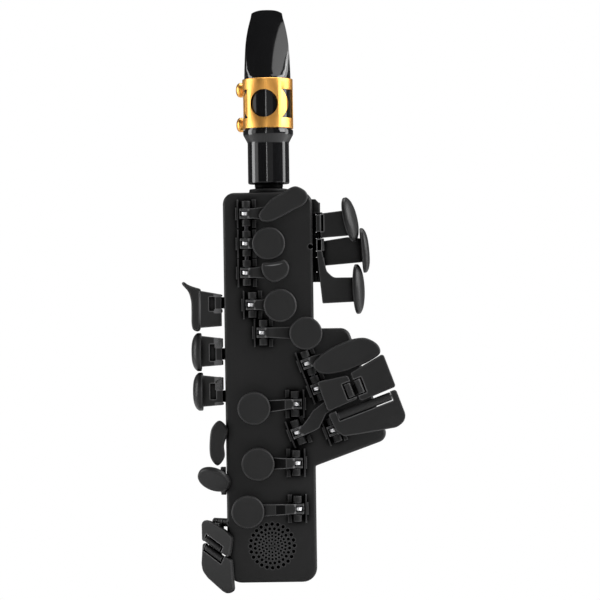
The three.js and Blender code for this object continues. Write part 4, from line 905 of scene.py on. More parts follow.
@dataclass
class Casing:
    """The two moulded shells with the wing and the grille."""

    width: float = 47
    height: float = 205
    front: float = -17
    rear: float = 17
    wall: float = 2
    top_corner: float = 6
    foot_corner: float = 7.5
    rim_inset: float = 1.7
    rim_depth: float = 2
    seam: float = -1
    seam_edge: float = 0.25
    gap: float = 0.3
    wing: tuple[Triple, ...] = (
        (23.5, 60.9, 1), (62, 74.7, 5), (41.3, 133, 5), (23.5, 133, 1),
    )
    wing_root: float = 20
    wing_plate: float = 2.6
    neck_hole: float = 9.3
    neck_x: float = 0.7
    speaker: Pair = (0.1, 19.3)
    rings: tuple[tuple[int, float, float], ...] = (
        (24, 11.5, 0.95), (24, 9.08, 0.82), (24, 6.95, 0.66),
        (18, 5.15, 0.62), (12, 3.35, 0.6), (5, 1.55, 0.55),
    )
    pin_hole: Pair = (1.3, 176.2)
    usb_hole: tuple[Pair, ...] = ((-14.3, -4.7), (6, 10), (-1, 3))
    jack_hole: Triple = (3.5, 9.5, 8)
    button_hole: Pair = (4.3, 32)

    def corners(self, winged: bool) -> list[Triple]:
        """Corners of the body's outline, with or without the wing."""
        side = self.width / 2
        feet = [(-side, 0, self.foot_corner), (side, 0, self.foot_corner)]
        heads = [(side, self.height, self.top_corner), (-side, self.height, self.top_corner)]
        return feet + (list(self.wing) if winged else []) + heads

    def cup(self, corners: Sequence[Triple], seam: float, outer: float) -> Shell:
        """A thin-walled shell, open at its seam, with its outer edge rounded over."""
        facing = math.copysign(1, outer - seam)
        inner = Form.rounded(corners, self.wall)
        lip = self.seam_edge
        layers = [(inner, outer - facing * self.wall), (inner, seam), (Form.rounded(corners, lip), seam)]
        layers.append((Form.rounded(corners), seam + facing * lip))
        for k in range(8):
            around = math.pi / 2 * (1 - k / 7)
            inset = self.rim_inset * (1 - math.sin(around))
            drop = self.rim_depth * (1 - math.cos(around))
            layers.append((Form.rounded(corners, inset), outer - facing * drop))
        return Form.loft(layers)

    def perforations(self) -> Piece:
        """The grille's holes as round bars, each ring set out by rule."""
        sizes = {"Depth": self.wall * 3 * MM}
        for k, (holes, reach, radius) in enumerate(self.rings):
            sizes[f"Holes {k}"] = holes
            sizes[f"Ring Radius {k}"] = reach * MM
            sizes[f"Hole Radius {k}"] = radius * MM
        rule = Rule("grille_perforations", sizes)
        index = rule.add("GeometryNodeInputIndex").outputs[0]
        joined = rule.add("GeometryNodeJoinGeometry")
        for k in range(len(self.rings)):
            holes, reach = rule.size(f"Holes {k}"), rule.size(f"Ring Radius {k}")
            step = rule.maths("ADD", index, k % 2 / 2)
            turn = rule.maths("DIVIDE", rule.maths("MULTIPLY", step, 2 * math.pi), holes)
            across = rule.maths("MULTIPLY", reach, rule.maths("COSINE", turn))
            rise = rule.maths("MULTIPLY", reach, rule.maths("SINE", turn))
            place = rule.add("ShaderNodeCombineXYZ", {0: across, 2: rise})
            points = rule.add("GeometryNodePoints", {"Count": holes, "Position": place.outputs[0]})
            bar = rule.add("GeometryNodeMeshCylinder", {
                "Vertices": 20, "Radius": rule.size(f"Hole Radius {k}"), "Depth": rule.size("Depth"),
            })
            ring = rule.add("GeometryNodeInstanceOnPoints", {
                "Points": points.outputs[0], "Instance": bar.outputs[0], "Rotation": (math.pi / 2, 0, 0),
            })
            rule.tree.links.new(ring.outputs[0], joined.inputs[0])
        x, z = self.speaker
        moved = rule.add("GeometryNodeTransform", {
            0: joined.outputs[0], "Translation": (x * MM, self.front * MM, z * MM),
        })
        rule.end(moved.outputs[0], SHELL.slot)
        bars = scatter("grille_bars", [])
        rule.apply(bars)
        return bars

    def neck_bore(self) -> Shell:
        """The opening for the neck."""
        x, z = self.neck_x, self.height
        return Form.barrel(self.neck_hole, (x, 0, z - 12), (x, 0, z + 2), 64)

    def front_face(self) -> None:
        """The front shell with its real grille holes, the neck's opening and a pin hole."""
        cup = self.cup(self.corners(True), self.seam, self.front)
        shell = Bench.mesh("front_moulding", cup, SHELL.slot)
        Bench.cut(shell, self.perforations())
        Bench.carved(shell, self.neck_bore())
        radius, z = self.pin_hole
        x, y = self.width / 2 - radius, self.front
        Bench.carved(shell, Form.barrel(radius, (x, y - 2, z), (x, y + 4, z), 24))
        Bench.even(shell)
        Bench.fit(shell, SHELL.slot, "case", ["front_shell"])

    def rear_face(self) -> None:
        """The rear shell with the wing's plate, the holes for sockets and the button's hole."""
        seam = self.seam + self.gap
        shell = Bench.mesh("rear_moulding", self.cup(self.corners(False), seam, self.rear), SHELL.slot)
        jack, x, y = self.jack_hole
        button, z = self.button_hole
        tools = [
            self.neck_bore(),
            Form.block(*self.usb_hole),
            Form.barrel(jack, (x, y, -1), (x, y, 3)),
            Form.barrel(button, (0, self.rear - 3, z), (0, self.rear + 1, z), 40),
        ]
        for tool in tools:
            Bench.carved(shell, tool)
        Bench.even(shell)
        Bench.fit(shell, SHELL.slot, "case", ["rear_shell"])
        low, high = self.wing[0][1], self.wing[-1][1]
        outline = Form.rounded([(self.wing_root, low, 1), *self.wing[1:3], (self.wing_root, high, 1)])
        plate = Form.prism(outline, seam, seam + self.wing_plate).softened(0.6)
        Bench.piece("wing_back", plate, SHELL.slot, "case", ["rear_shell"])

    def build(self) -> None:
        """Makes the casing."""
        self.front_face()
        self.rear_face()


class Hinge:
    """The hinge hardware that the front keys share, about an axis along Z that lies above the face.

    Points along an arm are its distance from the rod and its height above the body's face.
    """

    RISE = 3.0
    ROD = 1.0
    POST = 2.2
    NEAR = 2.95
    FAR = 6.65
    TRAY_HALF = 7.45
    HUB = 2.6
    HUB_HALF = 2.65
    CAP_TOP = 5.2
    CAP_ARM = 2.8
    CAP_FREE = 3.4
    SLOT_HALF = 1.45
    AXIS_Y = -20.0
    ARM = 1.5
    ARM_ROOT = ((1, 4.7), (3.4, 5.7))
    ARM_HALF = 2.65
    ARM_WIDENS = 0.85
    STEP = ((7.4, 5.7), (12.6, 4.1))
    STEPPED_FROM = 16.1
    STEM = 3
    STEM_TOP = 8.7
    TRAY_TOP = 2.2
    TRAY_SUNK = -1

    @classmethod
    def up(cls, lift: float) -> float:
        """The local depth of a height above the body's face."""
        return cls.RISE - lift

    @classmethod
    def arc(cls, radius: float, below: int, steps: int) -> Outline:
        """Half a circle about the rod: over it where below is -1, and under it where it is 1."""
        turns = [math.pi * i / steps for i in range(steps + 1)]
        return [(-radius * math.cos(turn), below * radius * math.sin(turn)) for turn in turns]

    @classmethod
    def rod(cls, low: float, high: float, x: float = 0, y: float = 0, edge: float = 0.2) -> Shell:
        """A hinge rod along Z."""
        return Form.barrel(cls.ROD, (x, y, low), (x, y, high), 20, edge)

    @classmethod
    def seat(cls, side: int) -> Shell:
        """Two posts and the shallow tray round them; side is +1 where the arm runs to +X."""
        root = cls.up(cls.TRAY_SUNK)
        depth = (cls.up(cls.TRAY_TOP), root)
        outline = cls.arc(cls.POST, -1, 14) + [(cls.POST, root), (-cls.POST, root)]
        seat = Shell()
        for end in (-1, 1):
            seat += Form.prism(outline, *span(end, cls.NEAR, cls.FAR), Axis.Z).softened(0.28)
            seat += Form.block(span(side, 2.9, 5.1), depth, span(end, 3.3, cls.TRAY_HALF)).softened(0.25)
        rail = Form.block(span(-side, 4, 4.9), depth, (-cls.TRAY_HALF, cls.TRAY_HALF))
        bump = Form.block(span(-side, 4.9, 5.7), depth, (-3.3, 3.3))
        return seat + rail.softened(0.18) + bump.softened(0.2)

    @classmethod
    def hub(cls, side: int) -> Shell:
        """Two cheeks about the rod, a slot between them for the spring, and a web on the free side."""
        top = cls.up(cls.CAP_TOP)
        left, right = (cls.CAP_FREE, cls.CAP_ARM) if side > 0 else (cls.CAP_ARM, cls.CAP_FREE)
        outline = cls.arc(cls.HUB, 1, 16) + [(right, 0), (right, top), (-left, top), (-left, 0)]
        hub = Form.prism(outline, -cls.HUB_HALF, -cls.SLOT_HALF, Axis.Z).softened(0.22)
        hub += Form.prism(outline, cls.SLOT_HALF, cls.HUB_HALF, Axis.Z).softened(0.22)
        half = cls.SLOT_HALF + 0.3
        web = Form.block(span(-side, 2.9, cls.CAP_FREE), (-0.4, cls.HUB * 0.6), (-half, half))
        return hub + web.softened(0.1)

    @classmethod
    def arm_span(cls, x: float, lift: float, ends: tuple[int, float, float], half: float) -> Four:
        """One cross-section of an arm.

        Args:
            x: how far it lies from the rod.
            lift: its height above the body's face.
            ends: the arm's side, its reach and how far its end lies above the hub in Z.
            half: half of its width at the hub.

        Returns:
            Its x, y, low and high.
        """
        side, reach, drop = ends
        root = cls.ARM_ROOT[1][0]
        along = max(0, x - root) / (reach - root)
        half += cls.ARM_WIDENS * along
        return side * x, cls.up(lift), drop * along - half, drop * along + half

    @classmethod
    def arm(cls, side: int, reach: float, drop: float) -> Shell:
        """The arm of a front key with its stem."""
        foot = cls.ARM_ROOT[1][1]
        run = [*cls.ARM_ROOT]
        if reach > cls.STEPPED_FROM:
            run += cls.STEP
            foot = cls.STEP[1][1]
        run.append((reach, foot))
        stations = [cls.arm_span(x, lift, (side, reach, drop), cls.ARM_HALF) for x, lift in run]
        start, end = (side * reach, cls.up(foot), drop), (side * reach, cls.up(cls.STEM_TOP), drop)
        return Form.ribbon(stations, cls.ARM).softened(0.25) + Form.barrel(cls.STEM, start, end, 28, 0.3)


# Rims from the back to the face: how far the outline is drawn in, and the share of the height.
TOUCH_RIM = (
    (0.75, 0), (0.3, 0.06), (0.06, 0.18), (0, 0.34), (0, 0.66), (0.08, 0.82), (0.26, 0.93), (0.5, 0.985),
    (0.75, 1), (1.0, 0.985), (1.4, 0.955), (2.2, 0.93), (3.4, 0.915),
)
PADDLE_RIM = (*TOUCH_RIM[:9], (1.0, 0.99), (1.4, 0.975), (1.9, 0.965))
BEAN_RIM = (
    (0.8, 0), (0.3, 0.08), (0, 0.3), (0, 0.45), (0.12, 0.66), (0.35, 0.83), (0.7, 0.93), (1.1, 0.985),
    (1.5, 1),
)
TRILL_RIM = (
    (0.6, 0), (0.2, 0.08), (0, 0.25), (0, 0.62), (0.12, 0.8), (0.4, 0.93), (0.9, 0.99), (1.6, 1), (3, 1.0),
)
SPOON_RIM = ((1.0, 0), (0.55, 0.02), (0.2, 0.05), (0, 0.1), (0, 0.9), (0.2, 0.95), (0.55, 0.98), (1.0, 1))
# A dome from the back to the face: the share of its outline and the share of the height.
DOME_SHARES = (
    (0.9, 0), (0.97, 0.02), (1, 0.08), (1, 0.36), (0.985, 0.45), (0.93, 0.58), (0.84, 0.72), (0.72, 0.83),
    (0.58, 0.915), (0.42, 0.965), (0.24, 0.99), (0.08, 1),
)


@dataclass
class FrontKeys:
    """The eight keys hinged on the front, and their rods."""

    pearl_radius: float = 8.6
    pearl_bottom: float = 7.2
    pearl_height: float = 3
    paddle_bottom: float = 7.6
    paddle_height: float = 3.2
    hinges: dict[str, tuple[float, float, int]] = rows(
        front_f=(-11.2, 193.8, 1), b=(-11.2, 178.1, 1), bis=(-11.2, 162.8, 1), a=(-8.6, 146, 1),
        g=(-3.1, 131.4, 1), f=(13.1, 93.8, -1), e=(13.2, 62.9, -1), d=(13.6, 38.9, -1),
    )
    pearls: dict[str, Pair] = rows(
        b=(11.6, -0.2), a=(14.6, -0.5), g=(22.3, -0.6),
        f=(21.5, -1.8), e=(19.9, -0.1), d=(25.9, -0.9),
    )
    # Where a black strip of painted shade lies along each long arm, as distances from the rod.
    steps: dict[str, Pair] = rows(
        f=(5.4, 14.5), e=(5.4, 14.5), d=(6.3, 11.2),
    )
    shade_strip_lift: float = 0.66
    shade_strip_half: float = 2.2
    shade_strip_thickness: float = 0.3
    front_f_box: Four = (6.7, -4.6, 25.7, 18.3)
    front_f_shares: Shares = (
        (0, 0.18), (0.07, 0.02), (0.22, 0), (0.48, 0.15), (0.72, 0.33), (0.93, 0.49), (1, 0.69),
        (0.96, 0.85), (0.77, 1), (0.66, 0.97), (0.49, 0.82), (0.28, 0.66), (0.13, 0.46),
    )
    bis_box: Four = (7.8, -5.2, 14.3, 11.6)
    bis_shares: Shares = (
        (0, 0.64), (0.11, 0.26), (0.44, 0), (0.91, 0.29), (1, 0.71), (0.84, 1),
        (0.58, 0.94), (0.4, 0.9), (0.05, 0.87),
    )

    def place(self, key: str) -> Matrix:
        """The frame of a key's hinge."""
        x, z, _ = self.hinges[key]
        return Matrix.Translation((x, Hinge.AXIS_Y, z))

    def pearl(self, key: str) -> Shell:
        """A key with a round dished touch."""
        side = self.hinges[key][2]
        reach, drop = self.pearls[key]
        outline = Form.oval(self.pearl_radius, self.pearl_radius, 96)
        face = Form.touch(outline, self.pearl_height, TOUCH_RIM)
        face = face.at(side * reach, Hinge.up(self.pearl_bottom), drop)
        return Hinge.hub(side) + Hinge.arm(side, reach, drop) + face

    def step(self, key: str) -> Shell:
        """A thin matt black strip in the step of a long arm, painted shade where the arm falls into shadow
        under its touch.
        """
        near, far = self.steps[key]
        ends = (self.hinges[key][2], *self.pearls[key])
        high, low = Hinge.STEP
        spans = []
        for x in sorted({near, high[0], min(far, low[0]), far}):
            fall = min(max((x - high[0]) / (low[0] - high[0]), 0), 1)
            lift = high[1] + (low[1] - high[1]) * fall + self.shade_strip_lift
            spans.append(Hinge.arm_span(x, lift, ends, self.shade_strip_half))
        return Form.ribbon(spans, self.shade_strip_thickness)

    @classmethod
    def paddle(cls, box: tuple[float, ...], shares: Shares, reach: float, drop: float) -> Shell:
        """A key with a touch of its own outline.

        Args:
            box: x, z, width and height of the touch.
            shares: the knots of its outline.
            reach: how far its stem lies from the rod.
            drop: how far its stem lies above the hub in Z.

        Returns:
            The hub, the arm and the touch.
        """
        face = Form.touch(Form.smooth(box, shares, 110), cls.paddle_height, PADDLE_RIM)
        return Hinge.hub(1) + Hinge.arm(1, reach, drop) + face.at(0, Hinge.up(cls.paddle_bottom))

    def build(self) -> None:
        """Makes the keys, then the rods."""
        shells = {key: self.pearl(key) for key in self.pearls}
        shells["front_f"] = self.paddle(self.front_f_box, self.front_f_shares, 12, 0)
        shells["bis"] = self.paddle(self.bis_box, self.bis_shares, 13, 0.4)
        for key, shell in shells.items():
            Bench.key(f"{key}_key_moulding", shell.moved(self.place(key)), f"{key}_key")
        # Black strips of painted shade on the long arms.
        for key in self.steps:
            shade_strip = self.step(key).moved(self.place(key))
            Bench.piece(f"{key}_arm_step", shade_strip, SOFT.slot, f"{key}_key", [f"{key}_key"])
        rods = Shell()
        for x, z, _ in self.hinges.values():
            rods += Hinge.rod(z - Hinge.FAR, z + Hinge.FAR, x, Hinge.AXIS_Y)
        x, high, _ = self.hinges["front_f"]
        rods += Hinge.rod(self.hinges["bis"][1], high, x, Hinge.AXIS_Y, 0)
        nodes = ["upper_stack_rod", "a_rod", "g_rod", "f_rod", "e_rod", "d_rod"]
        Bench.piece("front_hinge_rods", rods, ROD_BLACK.slot, "case", nodes)


@dataclass
class HingeHardware:
    """All posts, trays and springs of the front face, on the front keys and on the table."""

    front: FrontKeys
    table: "LittleFingerTable"
    spring_x: float = -0.4

    def seats(self) -> list[tuple[Matrix, int]]:
        """The frame and side of every hinge."""
        front = [(self.front.place(key), side) for key, (_, _, side) in self.front.hinges.items()]
        return front + [(self.table.place(key), 1) for key in self.table.hinges]

    def build(self) -> None:
        """Makes the posts, and winds a spring into each hub's slot."""
        posts = Shell()
        for place, side in self.seats():
            posts += Hinge.seat(side).moved(place)
        Bench.piece("hinge_posts", posts, SHELL.slot, "case", ["front_shell"])
        coil = Coil()
        leans = dict.fromkeys(self.front.hinges, 0) | dict.fromkeys(self.table.hinges, -self.table.lean)
        for (key, lean), (place, side) in zip(leans.items(), self.seats()):
            foot = place @ Vector((side * self.spring_x, 0, -coil.height / 2))
            coil.make(f"{key}_spring", [(foot, (0, lean, 0))], f"{key}_key")


@dataclass
class Plate:
    """A flat moulded plate with rounded corners and a sunk roller."""

    box: Four
    corners: Corners
    roller: Triple
    roller_radius: float
    roller_length: float
    opens: int
    thickness: float = 2.4
    gap: float = 0.6
    end_gap: float = 0.6
    roller_edge: float = 0.5
    pin: Pair = (0.5, 1.35)

    def top(self, name: str, place: Matrix, soft: float = 0.45) -> None:
        """Makes the notched plate of a key.

        Args:
            name: the key's name before "_key".
            place: the frame whose y = 0 the plate's back lies on.
            soft: how far its edges are rounded.
        """
        outline = Form.shaped(self.box, self.corners)
        solid = Form.prism(outline, -self.thickness, 0).softened(soft, 4)
        plate = Bench.mesh(f"{name}_plate", solid, KEY.slot)
        Bench.carved(plate, self.notch())
        Bench.placed(plate, place, f"{name}_key")

    def notch(self) -> Shell:
        """What is cut away round the roller."""
        wide, half = self.roller_radius + self.gap, self.roller_length / 2 + min(self.gap, self.end_gap)
        return self.seated(Form.block((-half, half), (-9, 9), span(self.opens, -wide, wide + 1)))

    def seated(self, shell: Shell) -> Shell:
        """A shell drawn along X moved to the roller's place."""
        x, z, turn = self.roller
        return shell.at(x, -self.thickness / 2, z, (0, turn, 0))

    def rolling(self) -> Shell:
        """The roller with rounded ends and its pins."""
        r, half, soft = self.roller_radius, self.roller_length / 2, self.roller_edge
        end = [(r - soft, half), (r - soft * 0.3, half - soft * 0.3), (r, half - soft)]
        profile = [(0, -half)] + [(radius, -x) for radius, x in end] + end[::-1] + [(0, half)]
        radius, reach = self.pin
        pins = Form.barrel(radius, (-half - reach, 0, 0), (half + reach, 0, 0), 16)
        return self.seated(Form.lathe(profile, 40).at(turn=(0, math.pi / 2, 0)) + pins)


@dataclass
class LittleFingerTable:
    """The left little-finger table on the wing: G sharp, C sharp, low B and B flat."""

    x: float = 20.3
    z: float = 115.2
    lean: float = math.radians(20.3)
    plate_bottom: float = 9.2
    hinges: dict[str, Pair] = rows(
        g_sharp=(0, 0), c_sharp=(0, -14.1), b_flat=(0, -37.5), low_b=(-17.9, -31.9),
    )
    g_sharp_box: Four = (2.3, -10.8, 35, 14.4)
    g_sharp_shares: Shares = (
        (0, 0.65), (0, 0.4), (0.12, 0.15), (0.33, 0.02), (0.58, -0.01), (0.82, 0.03), (0.99, 0.17),
        (1, 0.46), (0.875, 0.84), (0.72, 0.975), (0.55, 1), (0.35, 0.97), (0.17, 0.88),
    )
    plates: dict[str, Plate] = rows(
        c_sharp=Plate((0.5, -13.1, 16.8, 16.5), ((0.01, 1, 1), (0, 0, 1), (1, 0.04, 1), (0.97, 0.85, 1)),
                      (14.9, -6.7, math.pi / 2), 2.1, 7.6, 1),
        low_b=Plate((35.9, 3.6, 20.2, 19), ((0.03, 0.83, 1), (0, 0, 1), (1, 0.03, 1), (1, 1, 1)),
                    (38.3, 11.2, math.pi / 2), 2.1, 7.6, -1),
        b_flat=Plate((-0.3, -10.2, 38, 19.4), (
            (0.01, 1, 1), (0.03, 0.5, 1), (0.1, 0.29, 2), (0.28, 0.21, 3), (0.82, 0, 4), (1, 0.09, 4),
            (1, 0.96, 1)), (19.3, 6.1, 0), 2.2, 29.6, 1, gap=0.4, end_gap=0.15),
    )

    def place(self, key: str) -> Matrix:
        """The frame of a key's hinge."""
        x, z = self.hinges[key]
        turn = Matrix.Rotation(-self.lean, 4, "Y")
        return Matrix.Translation((self.x, Hinge.AXIS_Y, self.z)) @ turn @ Matrix.Translation((x, 0, z))

    def carrier(self, key: str) -> Shell:
        """What joins a plate to its hub."""
        riser_top = Hinge.up(self.plate_bottom + 1.2)
        if key != "low_b":
            half = Hinge.HUB_HALF
            return Form.block((0.8, 4.6), (riser_top, Hinge.up(3)), (-half, half)).softened(0.2)
        lift = Hinge.up(5.4)
        spans = [(1, Hinge.up(4.7), -2.6, 2.6), (3.4, lift, -2.6, 2.6), (8, lift, -2.3, 5.4)]
        spans += [(11, lift, -1.9, 7.8), (17, lift, 3.8, 9.6), (45.2, lift, 9, 14.9)]
        riser = Form.block((41, 45.2), (riser_top, lift), (9, 14.9)).softened(0.2)
        return Form.ribbon(spans, Hinge.ARM).softened(0.22) + riser

    def build(self) -> None:
        """Makes the four keys, their rollers and their rods."""
        shell = FrontKeys.paddle(self.g_sharp_box, self.g_sharp_shares, 12, -2)
        Bench.key("g_sharp_key_moulding", shell.moved(self.place("g_sharp")), "g_sharp_key")
        lift = Matrix.Translation((0, Hinge.up(self.plate_bottom), 0))
        for key, plate in self.plates.items():
            place = self.place(key)
            plate.top(key, place @ lift)
            Bench.key(f"{key}_hub", (Hinge.hub(1) + self.carrier(key)).moved(place), f"{key}_key")
            Bench.key(f"{key}_roller_barrel", plate.rolling().moved(place @ lift), f"{key}_roller")
        rods = Shell()
        for key, low in (("g_sharp", self.hinges["c_sharp"][1]), ("b_flat", 0), ("low_b", 0)):
            rods += Hinge.rod(low - Hinge.FAR, Hinge.FAR).moved(self.place(key))
        nodes = ["table_rod_upper", "table_rod_lower", "low_b_rod"]
        Bench.piece("table_hinge_rods", rods, ROD_BLACK.slot, "case", nodes)


@dataclass
class SideKeys:
    """Three keys on the left wall that swing on lugs: two domed discs and a flared spoon."""

    wall: float = -23.5
    lug_x: float = 3.2
    lug_y: float = -9.5
    lug_radius: float = 2.2
    lug_half: float = 3.05
    arm_right: float = 1.8
    arm_front: float = 4.6
    arm_thickness: float = 2
    flange: float = 5
    flare_low: float = 0.8
    ends: dict[str, Pair] = rows(
        side_c=(9.5, 1.5), side_b_flat=(9, 1.3), side_e=(9.9, 2.2),
    )
    pocket: Triple = (-4.8, -1.7, 1.2)
    disc_radius: float = 10.1
    disc_height: float = 5.4
    disc_sunk: float = 0.3
    disc_y: float = 6
    # Height of the hinge, low and high ends of the hub, and height of the disc above the hinge.
    keys: dict[str, Four] = rows(
        side_c=(120.3, -5.8, 8.3, 1.1), side_b_flat=(98, -4.5, 10, 2.5),
        side_e=(147.3, -12.3, 4.4, 0),
    )
    pockets: dict[str, Pair] = rows(
        side_c=(-3.6, 5.3), side_b_flat=(-1.5, 6.9), side_e=(-4.2, 3.2),
    )
    spoon_fork: Pair = (2.1, 1.2)
    spoon_box: Four = (-19, -14.9, 9.3, 26.2)
    spoon_depth: Pair = (-4.4, 9.6)
    spoon_edge_share: float = 0.8
    spoon_shares: Shares = (
        (1, 0.08), (0.9, 0), (0.62, 0.03), (0.53, 0.12), (0.52, 0.42), (0.5, 0.62), (0.35, 0.8),
        (0, 0.96), (0.05, 1), (0.3, 0.945), (0.6, 0.9), (0.92, 0.865), (1, 0.85),
    )

    def lug(self) -> Shell:
        """The lug on the shell that a key swings on, about its pin."""
        web = Form.block((0, self.lug_x + 1), (-1.8, 1.8), (-self.lug_half, self.lug_half))
        return (web + Form.upright(self.lug_radius, -self.lug_half, self.lug_half, 32)).softened(0.2)

    def fork(self, low: float, high: float) -> Shell:
        """Two cheeks round the lug and the pin through them."""
        inner = self.lug_half + 0.3
        fork = Hinge.rod(low - 0.2, high + 0.2, edge=0.25)
        for a, b in ((low, -inner), (inner, high)):
            fork += Form.upright(self.lug_radius, a, b, 32, 0.25)
            fork += Form.block((-self.lug_radius, self.arm_right), (-self.arm_front, 0), (a, b)).softened(0.2)
        return fork

    def arm(self, name: str) -> Piece:
        """The arm's front plate with its blind pocket and the wall to the touch, as a loose object."""
        _, low, high, _ = self.keys[name]
        end, flare = self.ends[name]
        foot, top = low - self.flare_low, high + flare
        middle = self.arm_thickness / 2 - self.arm_front
        spans = [(self.arm_right, middle, low, high), (-end, middle, foot, top)]
        arm = Form.ribbon(spans, self.arm_thickness).softened(0.25)
        arm += Form.block((-end, -end + 1.8), (-self.arm_front, self.flange), (foot, top)).softened(0.3)
        piece = Bench.mesh(f"{name}_arm", arm, KEY.slot)
        left, right, depth = self.pocket
        Bench.carved(piece, Form.block((left, right), (-30, depth - self.arm_front), self.pockets[name]))
        return piece

    def spoon(self) -> Shell:
        """The flared touch of the upper key, rounded to its front and back."""
        outline = Form.smooth(self.spoon_box, self.spoon_shares, 90)
        front, back = self.spoon_depth
        return Form.loft([
            (Form.drawn_in(outline, inset * self.spoon_edge_share), front + (back - front) * share)
            for inset, share in SPOON_RIM
        ])

    def disc(self, name: str) -> Shell:
        """The domed touch of a lower key."""
        oval = Form.oval(self.disc_radius, self.disc_radius, 80)
        x, y = self.disc_sunk - self.ends[name][0], self.disc_y - self.arm_front
        turn = (0, 0, -math.pi / 2)
        return Form.dome(oval, self.disc_height, DOME_SHARES).at(x, y, self.keys[name][3], turn)

    def build(self) -> None:
        """Makes the lugs and the three keys."""
        lugs = Shell()
        for name, (z, low, high, _) in self.keys.items():
            place = Matrix.Translation((self.wall - self.lug_x, self.lug_y, z))
            lugs += self.lug().moved(place)
            if name == "side_e":
                below, above = self.spoon_fork
                shell = self.fork(-self.lug_half - below, self.lug_half + above) + self.spoon()
            else:
                shell = self.fork(low, high) + self.disc(name)
            Bench.placed(self.arm(name), place, f"{name}_key")
            Bench.key(f"{name}_key_moulding", shell.moved(place), f"{name}_key")
        Bench.piece("side_lugs", lugs, SHELL.slot, "case", ["front_shell"])


@dataclass
class PalmKeys:
    """Three keys on the right wall that share one rod between four lugs."""

    x: float = 26.7
    y: float = -9.5
    z: float = 157.5
    height: float = 42
    inner: float = 22
    hub: float = 2.8
    lug_radius: float = 2.2
    lug_half: float = 1.8
    gap: float = 0.3
    rail: Pair = (3.1, 4.5)
    rail_end: float = -1.4
    crest: tuple[Pair, ...] = ((0.6, 36.8), (0.3, 41.9), (-1.5, 43.8))
    disc_half: float = 8
    disc_height: float = 4.2
    arm_thickness: float = 1.8
    hubs: dict[str, Pair] = rows(
        palm_e_flat=(5.5, 12.9), palm_f=(16.5, 22.9), palm_d=(26.5, 35.5),
    )
    # The disc's x, y and z, half its height, its lean and facing in degrees, and the arm's y.
    discs: dict[str, tuple[float, ...]] = rows(
        palm_d=(15.4, -5.5, 32.5, 11.8, 12, 70, -3.4),
        palm_f=(19.1, -3.6, -4, 13.1, 1.8, 76, -4.4),
        palm_e_flat=(22.4, -1.4, 16.3, 11.8, 4.7, 90, 3.9),
    )
    arms: dict[str, tuple[Four, Corners]] = rows(
        palm_d=((1, 22.6, 15.4, 15.3), ((0, 0.04, 0.5), (1, 0.11, 1), (1, 1, 1), (0, 0.88, 1))),
        palm_f=((-1.1, -11.3, 20.3, 33.9), (
            (0, 1, 0.5), (0, 0.76, 1), (0.13, 0, 0.5), (1, 0.02, 1), (1, 0.4, 1), (0.42, 0.4, 3),
            (0.25, 0.5, 3), (0.13, 0.82, 1), (0.13, 1, 0.5))),
        palm_e_flat=((0, 5.7, 23.4, 17.6), (
            (0, 0, 0.5), (0.15, 0.17, 1), (1, 0.26, 1), (1, 0.97, 1), (0.65, 1.02, 1), (0, 0.89, 0.5))),
    )

    def lugs(self) -> Shell:
        """The four lugs on the wall."""
        spans = sorted(self.hubs.values())
        feet = [0.0] + [high + self.gap for _, high in spans]
        tops = [low - self.gap for low, _ in spans] + [self.crest[0][1]]
        wall, half = self.inner - self.x, self.lug_half
        lugs = Shell()
        for foot, top in zip(feet, tops):
            lugs += Form.block((wall, 0), (-half, half), (foot, top)).softened(0.2)
            lugs += Form.upright(self.lug_radius, foot, top, 32, 0.25)
        lugs += Form.block((wall, self.rail_end), self.rail, (0, self.height)).softened(0.2)
        crest = [(wall, self.crest[0][1] - 1), *self.crest, (wall, self.crest[-1][1])]
        return lugs + Form.prism(crest, -half, half).softened(0.25)

    def key(self, name: str) -> Shell:
        """One palm key about the shared rod."""
        low, high = self.hubs[name]
        x, y, z, half, lean, face, arm_y = self.discs[name]
        front = arm_y - self.arm_thickness / 2
        back = front + self.arm_thickness
        arm = Form.prism(Form.shaped(*self.arms[name]), front, back).softened(0.3)
        hub = Form.upright(self.hub, low, high, 36, 0.25)
        near, depth = (0, (0, back)) if arm_y > 0 else (-self.hub / 2, (front, 0))
        riser = Form.block((near, self.hub), depth, (low, high)).softened(0.2)
        touch = Form.dome(Form.oval(self.disc_half, half, 80), self.disc_height, DOME_SHARES)
        return hub + riser + arm + touch.at(x, y, z, (math.radians(-lean), 0, math.radians(face)))

    def build(self) -> None:
        """Makes the lugs, the rod and the three keys."""
        place = Matrix.Translation((self.x, self.y, self.z))
        Bench.piece("palm_lugs", self.lugs().moved(place), SHELL.slot, "case", ["front_shell"])
        rod = Hinge.rod(0, self.height).moved(place)
        Bench.piece("palm_hinge_rod", rod, ROD_BLACK.slot, "case", ["palm_rod"])
        for name in self.hubs:
            Bench.key(f"{name}_key_moulding", self.key(name).moved(place), f"{name}_key")


